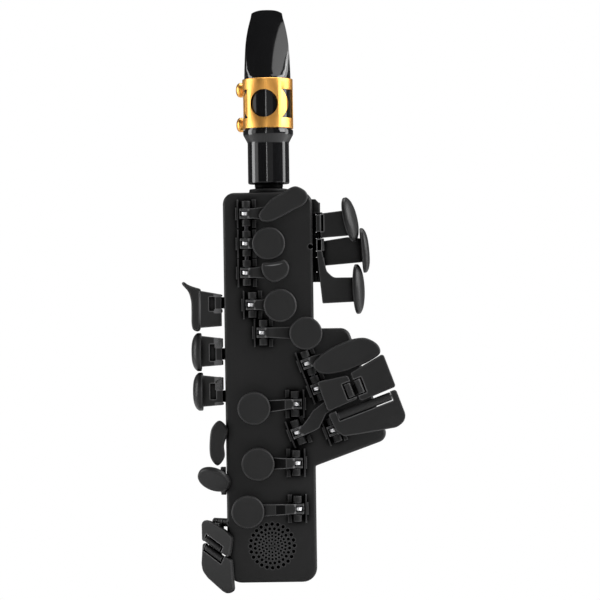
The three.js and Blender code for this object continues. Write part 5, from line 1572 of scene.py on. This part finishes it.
@dataclass
class LowKeys:
    """Keys on the lower left wall: bean, trill and the two slanted little-finger plates."""

    wall: float = -23.5
    stub: float = 1.2
    hub: float = 2.2
    face: float = math.radians(-35)
    origin: Triple = (-17.6, -18.3, 31.7)
    bean_at: Pair = (-13, 81)
    trill_at: Pair = (-6, 48)
    back: float = -3.7
    bean_box: Four = (-8.4, -19, 9.5, 23.6)
    bean_shares: Shares = (
        (0.55, 1), (0.14, 0.85), (0, 0.59), (0.05, 0.16), (0.41, 0), (0.8, 0.18), (0.79, 0.45), (1, 0.8),
    )
    plates: dict[str, Plate] = rows(
        e_flat=Plate((-20, -17.9, 19.9, 19.8), (
            (0.01, 0.43, 1), (0.89, 0, 1), (1, 0.55, 2), (0.77, 0.73, 5), (0.45, 0.86, 5), (0.27, 0.95, 2),
            (0, 0.985, 2)), (-12.4, -11.2, math.radians(29.3)), 1.8, 11.4, -1, 2.2),
        low_c=Plate((-20.4, -37, 20.9, 26.8), (
            (0.05, 1, 1), (0, 0.56, 4), (0.04, 0.42, 4), (0.2, 0.29, 5), (0.66, 0.05, 5), (0.82, 0, 3),
            (1, 0.08, 1.6), (0.95, 0.54, 9), (0.93, 0.67, 1)),
            (-12, -16, math.radians(29.3)), 1.8, 12.2, 1, 2.2),
    )
    # Where each plate's reach stands along its axle, and how far it spans in height.
    reaches: dict[str, tuple[Pair, ...]] = rows(
        e_flat=((-12.2, -9.2), (-4.6, 0)), low_c=((-15.6, -12.6), (-26.5, -21.6)),
    )

    def axle(self, radius: float, near: float, far: float) -> Shell:
        """A round bar along X."""
        return Form.barrel(radius, (far, 0, 0), (near, 0, 0), 28, 0.15)

    def bean(self) -> Shell:
        """The bean-shaped touch with its arm and hub."""
        touch = Form.touch(Form.smooth(self.bean_box, self.bean_shares, 90), 3, BEAN_RIM).at(0, -4.6)
        arm = Form.block((-3.7, -0.4), (-6.1, 0), (-2.4, 2)).softened(0.3)
        return self.axle(self.hub, -0.4, -3.7) + arm + touch

    def trill(self) -> Shell:
        """The slanted disc on a side lever."""
        outline = [(2, -2.2), (2, 0), (-3.5, 12.8), (-8.6, 12.8), (-8.6, 8.6), (-5.5, 8.6), (-2.2, -2.2)]
        lever = Form.prism(outline, -3.1, -0.4, Axis.X).softened(0.3)
        stem = Form.barrel(1.6, (-1.75, -7, 10.7), (-5.9, -14.8, 8), 24)
        disc = Form.touch(Form.oval(8.9, 8.9, 80), 3, TRILL_RIM)
        disc = disc.at(-5.9, -14, 8, (math.radians(46), 0, math.radians(-25)))
        return self.axle(self.hub, -0.4, -3.1) + lever + stem + disc

    def plate_key(self, name: str, place: Matrix) -> None:
        """One slanted plate with its reach and roller."""
        plate, (across, rise) = self.plates[name], self.reaches[name]
        lift = Matrix.Translation((0, self.back, 0))
        plate.top(name, place @ lift, 0.5)
        body = self.axle(self.hub, across[1], across[0])
        body += Form.block(across, (self.back - 1.1, 0), rise).softened(0.2)
        if name == "low_c":
            body += Form.block(across, (-1, 2.4), (rise[0], 0)).softened(0.2)
        Bench.key(f"{name}_reach", body.moved(place), f"{name}_key")
        Bench.key(f"{name}_roller_barrel", plate.rolling().moved(place @ lift), f"{name}_roller")

    def build(self) -> None:
        """Makes the axles and the four keys."""
        bean = Matrix.Translation((self.wall, *self.bean_at))
        trill = Matrix.Translation((self.wall, *self.trill_at))
        low = Matrix.Translation(self.origin) @ Matrix.Rotation(self.face, 4, "Z")
        axles = Shell()
        spans = ((bean, 1, -4, -0.1), (trill, 1, -3.4, -0.1), (low, -5.4, -16, -8.8))
        for place, start, end, shoulder in spans:
            axles += (self.axle(self.stub, start, end) + self.axle(self.hub, start, shoulder)).moved(place)
        Bench.piece("wall_axles", axles, SHELL.slot, "case", ["front_shell"])
        Bench.key("high_f_sharp_key_moulding", self.bean().moved(bean), "high_f_sharp_key")
        Bench.key("f_sharp_trill_key_moulding", self.trill().moved(trill), "f_sharp_trill_key")
        for name in self.plates:
            self.plate_key(name, low)


@dataclass
class NeckAndMouthpiece:
    """Collar, neck, cork, mouthpiece, reed and ligature, drawn from the body's top face."""

    x: float = 0.7
    foot: float = 205
    seat: float = 12.3
    beak: float = 61
    tip: float = 98.5
    tip_half: float = 7.9
    arc: Pair = (9, 2.6)
    table: float = 9.5
    crown: float = 0.045
    # Radius and height down the round part of the mouthpiece.
    body: tuple[Pair, ...] = (
        (10.1, 5), (10.5, 5.05), (10.8, 5.3), (10.95, 5.7), (11, 6.2), (11, 26.4), (11.05, 26.9),
        (11.4, 27.6), (12.6, 29.9), (13.05, 30.7), (13.25, 31.2), (13.3, 31.6), (13.3, 33.2),
        (13.2, 33.55), (12.9, 33.7), (12.3, 33.75), (12.3, 34.3), (12.3, 60.4), (12.3, 61.2),
    )
    # Shares of the beak's length, and of the body's width there.
    beak_shares: Shares = (
        (0.04, 0.999), (0.12, 0.992), (0.3, 0.967), (0.4, 0.949), (0.5, 0.927), (0.58, 0.897),
        (0.65, 0.862), (0.72, 0.822), (0.78, 0.78), (0.83, 0.741), (0.88, 0.7), (0.94, 0.67), (0.975, 0.655),
    )
    # Half width, thickness and height up the reed.
    cane: tuple[Triple, ...] = (
        (6.1, 2.4, 31.5), (6.2, 2.6, 31.9), (6.9, 2.6, 65), (7.1, 2.1, 72), (7.3, 1.3, 82), (7.6, 0.5, 98.1),
    )
    band_low: float = 34.4
    band_high: float = 60.6
    turn: float = math.radians(-9)
    screw_drop: float = 4.1
    screw_rise: float = 3.4
    band: float = 13.4
    band_wall: float = 0.8
    band_back: float = 14.2
    ring: float = 11.8
    hole: float = 7.35
    lug_gap: float = 2.4

    def raised(self, shell: Shell) -> Shell:
        """A shell lifted to the body's top face."""
        return shell.at(self.x, 0, self.foot)

    def collar(self) -> None:
        """The collar with two rings and the stepped neck tube with its cork."""
        ring = self.raised(Form.lathe([
            (7.8, -10.7), (9, -10.7), (9, 0.3), (10.2, 0.3), (10.6, 0.55), (10.6, 1.15), (10.35, 1.3),
            (10.35, 1.45), (10.5, 1.55), (10.45, 1.9), (10.0, 2.3), (9.2, 2.4), (8.3, 2.4), (7.8, 2.2),
        ], 72))
        Bench.piece("collar_ring", ring, SHELL.slot, "case", ["neck_socket"], 30)
        tube = self.raised(Form.lathe([
            (4.5, -10), (7.3, -10), (7.5, -9.8), (7.5, 2.7), (7.25, 2.85), (7.25, 3.2), (7.5, 3.35),
            (7.5, 5.4), (7.3, 5.6), (6.8, 5.6), (6.8, 33.8), (6.6, 34), (4.5, 34),
        ], 72))
        Bench.piece("neck_tube_turned", tube, SHELL.slot, "case", ["neck_tube"], 30)
        cork = self.raised(Form.lathe([
            (6.95, 7), (7.6, 7), (7.9, 7.4), (7.9, 29.6), (7.6, 30), (6.95, 30),
        ], 64))
        Bench.piece("neck_cork_sleeve", cork, CORK.slot, "case", ["neck_cork"])

    def section(self, half: float, depth: float, back: float, crown: float = 0) -> Outline:
        """A section of the mouthpiece: round, and cut in front by a lightly crowned face.

        Args:
            half: half of its width.
            depth: how far the face's middle lies in front of the axis.
            back: how far it reaches behind.
            crown: how much the face falls off to the sides, for each square millimetre.

        Returns:
            The outline.
        """
        count, section = 96, []
        for i in range(count):
            turn = 2 * math.pi * i / count
            x, y = math.cos(turn) * half, math.sin(turn)
            face = crown * x * x - depth
            section.append((x, max(y * half, face) if y < 0 else max(y * back, face + 0.02)))
        return section

    def mouthpiece(self) -> None:
        """The body with beak, the flat table behind, the bore and the window under the reed."""
        layers = [(self.section(radius, radius, radius), z) for radius, z in self.body]
        behind = self.table + 0.6
        for along, share in self.beak_shares:
            half = self.seat * share
            depth = self.seat - along * (self.seat + self.table - 1.4)
            section = self.section(half, depth, max(half, behind), self.crown * (1 - along))
            layers.append((section, self.beak + along * (self.tip - self.beak)))
        for half, thick, z in (
            (self.tip_half, 1.5, self.tip - 0.35), (self.tip_half - 0.3, 1.2, self.tip + 0.3)
        ):
            layers.append((self.section(half, thick - self.table, behind), z))
        piece = Bench.mesh("mouthpiece_body", self.raised(Form.loft(layers, Axis.Z)), EBONITE.slot)
        window = [(0, 58), (46, 58), (46, 96.9), (self.table - 1, 96.9)]
        for tool in (
            Form.block((-40, 40), (self.table, 40), (27, 99)),
            Form.prism(self.above_arc(), -40, 40),
            Form.upright(8.2, 4, 38, 64),
            Form.upright(6.2, 37, 59, 48),
            Form.prism(window, -5.6, 5.6, Axis.X),
        ):
            Bench.carved(piece, self.raised(tool), 34)
        Bench.fit(piece, EBONITE.slot, "mouthpiece_set", ["mouthpiece"])

    def above_arc(self) -> Outline:
        """What lies above the rounded tip, seen from the front."""
        half, drop = self.arc
        reach, steps = 14, 20
        across = [reach * (i / steps - 1) for i in range(2 * steps + 1)]
        arc = [(x, self.tip - drop * (abs(x) / half) ** 3) for x in across]
        return arc + [(reach, self.tip + 2), (-reach, self.tip + 2)]

    def reed(self) -> None:
        """The cane reed, thinned towards its tip."""
        face = self.table + 0.3
        layers = []
        for half, thick, z in self.cane:
            edge = thick / 2
            right = [(half, 0), (half, 0.15), (half - edge * 0.4, thick * 0.72), (half - edge, thick)]
            left = [(-x, y) for x, y in right]
            section = [(x, face + y) for x, y in [left[0], *right, *reversed(left[1:])]]
            layers.append((section, z))
        piece = Bench.mesh("reed_cane", self.raised(Form.loft(layers, Axis.Z)), CANE.slot, 50)
        Bench.carved(piece, self.raised(Form.prism(self.above_arc(), -40, 40).at(z=-0.3)), 50)
        Bench.even(piece)
        Bench.fit(piece, CANE.slot, "mouthpiece_set", ["reed"])

    def squared(self, inset: float = 0) -> Outline:
        """The band's section, drawn in: round in front and squarer behind, round the reed."""
        half, back = self.band - inset, self.band_back - inset
        outline = []
        for x, y in Form.oval(1, 1, 128):
            if y < 0:
                outline.append((x * half, y * half))
            else:
                outline.append((math.copysign(abs(x) ** 0.7, x) * half, y ** 0.7 * back))
        return outline

    def screw_heights(self) -> dict[str, float]:
        """The heights of the two screws."""
        return {"upper": self.band_high - self.screw_drop, "lower": self.band_low + self.screw_rise}

    def blank(self) -> Shell:
        """The band before its windows are cut."""
        inner, soft, outer = (self.squared(inset) for inset in (self.band_wall, 0.2, 0))
        rings = [(inner, self.band_low), (soft, self.band_low), (outer, self.band_low + 0.2)]
        rings += [(outer, self.band_high - 0.2), (soft, self.band_high), (inner, self.band_high)]
        faces = []
        count = len(outer)
        for k in range(len(rings)):
            for i in range(count):
                j, n = (i + 1) % count, (k + 1) % len(rings)
                faces.append((k * count + i, k * count + j, n * count + j, n * count + i))
        return Shell([Axis.Z.at(p, z) for ring, z in rings for p in ring], faces)

    def ligature(self) -> None:
        """The gold band with its front ring, side windows and lugs."""
        band = Bench.mesh("ligature_band", self.raised(self.blank()), GOLD.slot)
        low, high = self.band_low + 5.3, self.band_high - 5.8
        middle = (low + high) / 2
        turn = (0, 0, self.turn)
        slab = Form.block((-46, 46), (-46, 3), (low, high)).at(turn=turn)
        windows = Bench.mesh("ligature_windows", self.raised(slab), GOLD.slot)
        rim = Form.barrel(self.ring, (0, -47, middle), (0, 4, middle), 96).at(turn=turn)
        Bench.carved(windows, self.raised(rim))
        Bench.cut(band, windows)
        hole = Form.barrel(self.hole, (0, -47, middle), (0, 0, middle), 96).at(turn=turn)
        Bench.carved(band, self.raised(hole))
        half = self.lug_gap / 2
        split = Form.block((-half, half), (self.table, 40), (self.band_low - 1, self.band_high + 1))
        Bench.carved(band, self.raised(split))
        soft_edge = band.modifiers.new("edges", "BEVEL")
        soft_edge.width = 0.00014
        soft_edge.segments = 2
        soft_edge.limit_method = "ANGLE"
        soft_edge.angle_limit = math.radians(50)
        soft_edge.harden_normals = False
        Bench.settled(band)
        band.data.shade_smooth()
        band.data.set_sharp_from_angle(angle=math.radians(35))
        Bench.fit(band, GOLD.slot, "mouthpiece_set", ["ligature"])
        lugs = Shell()
        depth = (self.band_back - 0.4, self.band_back + 5.4)
        for z in self.screw_heights().values():
            for side in (-1, 1):
                lugs += Form.block(span(side, half, half + 2.6), depth, (z - 3, z + 3)).softened(0.6)
        Bench.piece("ligature_lugs", self.raised(lugs), GOLD.slot, "mouthpiece_set", ["ligature"])

    def screws(self) -> None:
        """The two thumb screws with domed, collared heads."""
        profile = [
            (0, -21.4), (0.9, -21.4), (1.1, -21.2), (1.1, -0.2), (1.1, 0), (2.9, 0), (3.73, 0.12),
            (3.9, 0.35), (3.9, 1.5), (3.85, 1.9), (3.67, 2.4), (3.15, 3.0), (2.35, 3.45), (1.38, 3.72),
            (0.57, 3.79), (0, 3.8),
        ]
        for name, z in self.screw_heights().items():
            head = Form.lathe(profile, 56).at(-self.band, self.band_back + 3, z, (0, -math.pi / 2, 0))
            node = f"ligature_screw_{name}"
            Bench.piece(f"{node}_turned", self.raised(head), GOLD.slot, node, [node], 45)

    def build(self) -> None:
        """Makes everything above the body."""
        self.collar()
        self.mouthpiece()
        self.reed()
        self.ligature()
        self.screws()


@dataclass
class ThumbSide:
    """Octave key, thumb rest, hook, strap ring, power button, sockets and case screws."""

    rear: float = 17.3
    octave_y: float = 20.6
    octave_z: float = 187
    hook_z: float = 96
    hook_width: float = 16
    strap_z: float = 118
    rest_z: float = 152
    octave_hub: float = 2.4
    screw_x: float = 15
    screw_heights: tuple[float, ...] = (62, 140, 196, 14)

    def octave(self) -> None:
        """The octave key and its lugs."""
        lugs = Shell()
        r, y, z = self.octave_hub, self.octave_y, self.octave_z
        for side in (-1, 1):
            low, high = span(side, 6.3, 8.7)
            lugs += Form.block((low, high), (self.rear - 1.3, y), (z - r, z + r)).softened(0.2)
            lugs += Form.barrel(r, (low, y, z), (high, y, z), 32, 0.2)
        Bench.piece("octave_lugs", lugs, SHELL.slot, "case", ["rear_shell"])
        outline = Form.rounded([(-6.5, -19, 2.8), (6.5, -19, 2.8), (6, 0, 1.4), (-6, 0, 1.4)])
        key = Form.prism(outline, -0.6, 2).softened(0.7, 4)
        key += Form.barrel(r, (-6, 0, 0), (6, 0, 0), 36, 0.3)
        key += Form.barrel(1, (-8.7, 0, 0), (8.7, 0, 0), 20, 0.2)
        Bench.key("octave_key_moulding", key.at(0, y, z), "octave_key")

    def hook(self) -> None:
        """The thumb hook, rounded for the thumb, and the pad of the thumb rest."""
        outline = [
            (0, -13), (2.4, -13), (2.4, -5), (7.4, 0), (13, 0), (18, -5), (18, -9), (22, -9),
            (22, -2.5), (17, 4), (7.4, 4), (2.4, 9), (0, 9),
        ]
        half = self.hook_width / 2
        hook = Form.prism(outline, -half, half, Axis.X).softened(0.9, 4).at(0, self.rear, self.hook_z)
        Bench.piece("thumb_hook_moulding", hook, SHELL.slot, "case", ["thumb_hook"])
        rest = Form.dome(Form.oval(9, 12, 80), 3.4, DOME_SHARES)
        rest = rest.at(0, self.rear, self.rest_z, (0, 0, math.pi))
        Bench.piece("thumb_rest_pad", rest, SOFT.slot, "case", ["thumb_rest"])

    def strap(self) -> None:
        """The strap ring on its plate."""
        base = Form.block((-6, 6), (0, 2.4), (-7, 7)).softened(0.5)
        ring = Form.lathe([
            (4.5, -0.9), (5, -1.6), (7, -1.6), (7.5, -0.9), (7.5, 0.9), (7, 1.6), (5, 1.6), (4.5, 0.9),
        ], 64)
        ring = ring.softened(0.3, 2, 40).at(0, 8.2, 0, (0, math.pi / 2, 0))
        piece = Bench.mesh("strap_ring_cast", (base + ring).at(0, self.rear, self.strap_z), NICKEL.slot)
        Bench.even(piece)
        Bench.fit(piece, NICKEL.slot, "case", ["strap_ring"])

    def sockets(self) -> None:
        """The USB shell, the headphone socket and the button."""
        plug = Form.block((-14, -5), (6.3, 9.7), (0, 7.5)).softened(0.9, 4)
        usb = Bench.mesh("usb_shell", plug, NICKEL.slot)
        Bench.carved(usb, Form.block((-13.2, -5.8), (7.1, 8.9), (-1, 6.7)).softened(0.7, 4))
        Bench.fit(usb, NICKEL.slot, "case", ["usb_port"])
        jack = Form.lathe([(1.8, 0.15), (2.0, 0), (3.0, 0), (3.2, 0.2), (3.2, 9), (1.8, 9)], 40).at(9.5, 8, 0)
        Bench.piece("headphone_socket", jack, SOFT.slot, "case", ["headphone_jack"])
        profile = [
            (0, -4), (5.5, -4), (5.5, -2.5), (4, -2.5), (4, 1.1), (3.85, 1.4), (3.4, 1.58), (2.6, 1.55),
            (1.4, 1.42), (0, 1.38),
        ]
        button = Form.lathe(profile, 48).at(0, 17, 32, (-math.pi / 2, 0, 0))
        Bench.piece("power_button_cap", button, SOFT.slot, "power_button", ["power_button"])

    def case_screws(self) -> None:
        """Countersunk cross-head screws in the rear shell, set by rule."""
        head = Form.lathe([(0, -0.6), (1.9, -0.6), (2.05, -0.45), (2.05, -0.1), (1.95, 0.02), (0, 0.12)], 32)
        screw = Bench.mesh("screw_head", head, NICKEL.slot)
        for wide, deep in ((1.2, 0.22), (0.22, 1.2)):
            Bench.carved(screw, Form.block((-wide, wide), (-deep, deep), (-0.4, 1)))
        rule = Rule("case_screws", {"Size": 1.0})
        source = rule.add("GeometryNodeObjectInfo", {0: screw}, {"transform_space": "ORIGINAL"})
        size = rule.add("ShaderNodeCombineXYZ", {k: rule.size("Size") for k in range(3)})
        rule.end(rule.set_out(source.outputs["Geometry"], size.outputs[0]), NICKEL.slot)
        feet = [Vector((side * self.screw_x, Casing.rear, z)) for z in self.screw_heights for side in (-1, 1)]
        places = [(foot, (-math.pi / 2, 0.4 * k, 0)) for k, foot in enumerate(feet)]
        piece = scatter("case_screw_heads", places)
        rule.apply(piece)
        bpy.data.objects.remove(screw)
        piece.data.set_sharp_from_angle(angle=math.radians(40))
        Bench.fit(piece, NICKEL.slot, "case")

    def build(self) -> None:
        """Makes the thumb side."""
        self.octave()
        self.hook()
        self.strap()
        self.sockets()
        self.case_screws()


@dataclass
class Interior:
    """What the closed body holds: board, battery, breath sensor and speaker.

    Lengths are metres here, because the solids are copied as they are.
    """

    edge: float = 0.0004
    weld: float = 0.00001
    slots: dict[str, str] = rows(
        main_board=BOARD.slot, battery=FOIL.slot, breath_sensor=SOFT.slot, speaker=SOFT.slot,
    )

    def build(self) -> None:
        """Softens copies of the solids and dresses them."""
        for node, slot in self.slots.items():
            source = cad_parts[node]
            data = source.data.copy()
            bench = bmesh.new()
            bench.from_mesh(data)
            bench.transform(source.matrix_world)
            bmesh.ops.remove_doubles(bench, verts=bench.verts, dist=self.weld)
            flat = math.radians(2)
            bmesh.ops.dissolve_limit(bench, angle_limit=flat, verts=bench.verts, edges=bench.edges)
            bench.to_mesh(data)
            bench.free()
            data.materials.clear()
            data.materials.append(PAINTED[slot])
            piece = linked(f"{node}_dressed", data)
            soft = piece.modifiers.new("edges", "BEVEL")
            soft.width = self.edge
            soft.segments = 3
            Bench.even(piece)
            Bench.fit(piece, slot, "case", [node])


@dataclass
class Studio:
    """Floor, lights and the camera of the photograph."""

    target: Triple = (16.4, -17, 148.2)
    distance: float = 1350
    span: float = 315
    roll: float = math.radians(-0.8)
    sensor: float = 36
    floor_z: float = -6.2
    floor_half: float = 1600
    sky_glow: float = 0.1
    aim: Triple = (16, 0, 140)
    # Place, width and height, and power in watts.
    lights: dict[str, tuple[tuple[float, ...], Pair, float]] = rows(
        key_light=((860, -300, 560), (500, 600), 9),
        panel_light=((490, -372, 955), (560, 400), 2),
        left_light=((-820, -260, 160), (400, 900), 2),
        strip_light=((-150, -1000, 180), (26, 900), 1),
        front_fill=((150, -1300, 300), (900, 900), 0.8),
        right_rim=((560, 60, 300), (200, 700), 2.4),
        left_rim=((-560, 20, 160), (200, 700), 3),
        top_light=((60, 160, 900), (500, 300), 4),
    )
    aims: dict[str, tuple[float, ...]] = rows(panel_light=(0, 0, 280))

    def camera(self) -> None:
        """A long-lens camera square to the front."""
        data = bpy.data.cameras.new("studio_camera")
        data.sensor_width = self.sensor
        data.lens = self.sensor * self.distance / self.span
        data.clip_end = 20
        camera = linked("studio_camera", data)
        x, y, z = self.target
        turn = Matrix.Rotation(math.pi / 2, 4, "X") @ Matrix.Rotation(self.roll, 4, "Z")
        camera.matrix_world = Matrix.Translation((x * MM, (y - self.distance) * MM, z * MM)) @ turn
        bpy.context.scene.camera = camera

    def light(self, name: str) -> None:
        """One of the soft rectangular lights."""
        place, size, power = self.lights[name]
        data = bpy.data.lights.new(name, "AREA")
        data.shape = "RECTANGLE"
        data.size, data.size_y = size[0] * MM, size[1] * MM
        data.energy = power
        away = Vector(place) - Vector(self.aims.get(name, self.aim))
        turn = away.to_track_quat("Z", "Y").to_matrix().to_4x4()
        linked(name, data).matrix_world = Matrix.Translation(Vector(place) * MM) @ turn

    @staticmethod
    def white_to_camera(tree: bpy.types.NodeTree, inner: Socket, white: Socket) -> Socket:
        """Mixes two shaders so that the camera sees the white one."""
        path = tree.nodes.new("ShaderNodeLightPath")
        mix = tree.nodes.new("ShaderNodeMixShader")
        tree.links.new(path.outputs["Is Camera Ray"], mix.inputs[0])
        tree.links.new(inner, mix.inputs[1])
        tree.links.new(white, mix.inputs[2])
        return mix.outputs[0]

    def world(self) -> None:
        """A white sky to the camera, and a dim one to everything else."""
        world = bpy.data.worlds.new("studio_world")
        world.use_nodes = True
        tree = world.node_tree
        tree.nodes.clear()
        sky, dim = tree.nodes.new("ShaderNodeBackground"), tree.nodes.new("ShaderNodeBackground")
        sky.inputs[0].default_value = (1, 1, 1, 1)
        dim.inputs[0].default_value = (1, 1, 1, 1)
        dim.inputs[1].default_value = self.sky_glow
        output = tree.nodes.new("ShaderNodeOutputWorld")
        tree.links.new(self.white_to_camera(tree, dim.outputs[0], sky.outputs[0]), output.inputs[0])
        bpy.context.scene.world = world

    def floor(self) -> None:
        """A pale floor under the lowest plate."""
        data = bpy.data.meshes.new("studio_floor")
        half, z = self.floor_half * MM, self.floor_z * MM
        corners = [(-half, -half, z), (half, -half, z), (half, half, z), (-half, half, z)]
        data.from_pydata(corners, [], [(0, 1, 2, 3)])
        material = bpy.data.materials.new("studio_floor")
        material.use_nodes = True
        tree = material.node_tree
        tree.nodes.clear()
        cloth, glow = tree.nodes.new("ShaderNodeBsdfDiffuse"), tree.nodes.new("ShaderNodeEmission")
        cloth.inputs[0].default_value = (0.8, 0.8, 0.8, 1)
        output = tree.nodes.new("ShaderNodeOutputMaterial")
        tree.links.new(self.white_to_camera(tree, cloth.outputs[0], glow.outputs[0]), output.inputs[0])
        data.materials.append(material)
        floor = linked("studio_floor", data)

    def build(self) -> None:
        """Sets up camera, floor, lights and view."""
        self.camera()
        self.world()
        self.floor()
        for name in self.lights:
            self.light(name)
        bpy.context.scene.view_settings.view_transform = "Standard"


def main() -> None:
    """Builds the whole scene."""
    logging.basicConfig(level=logging.INFO, format="%(message)s")
    Studio().build()
    Casing().build()
    front, table = FrontKeys(), LittleFingerTable()
    keys = (front, table, HingeHardware(front, table), SideKeys(), PalmKeys(), LowKeys())
    for assembly in (*keys, NeckAndMouthpiece(), ThumbSide(), Interior()):
        assembly.build()


if __name__ == "__main__":
    main()
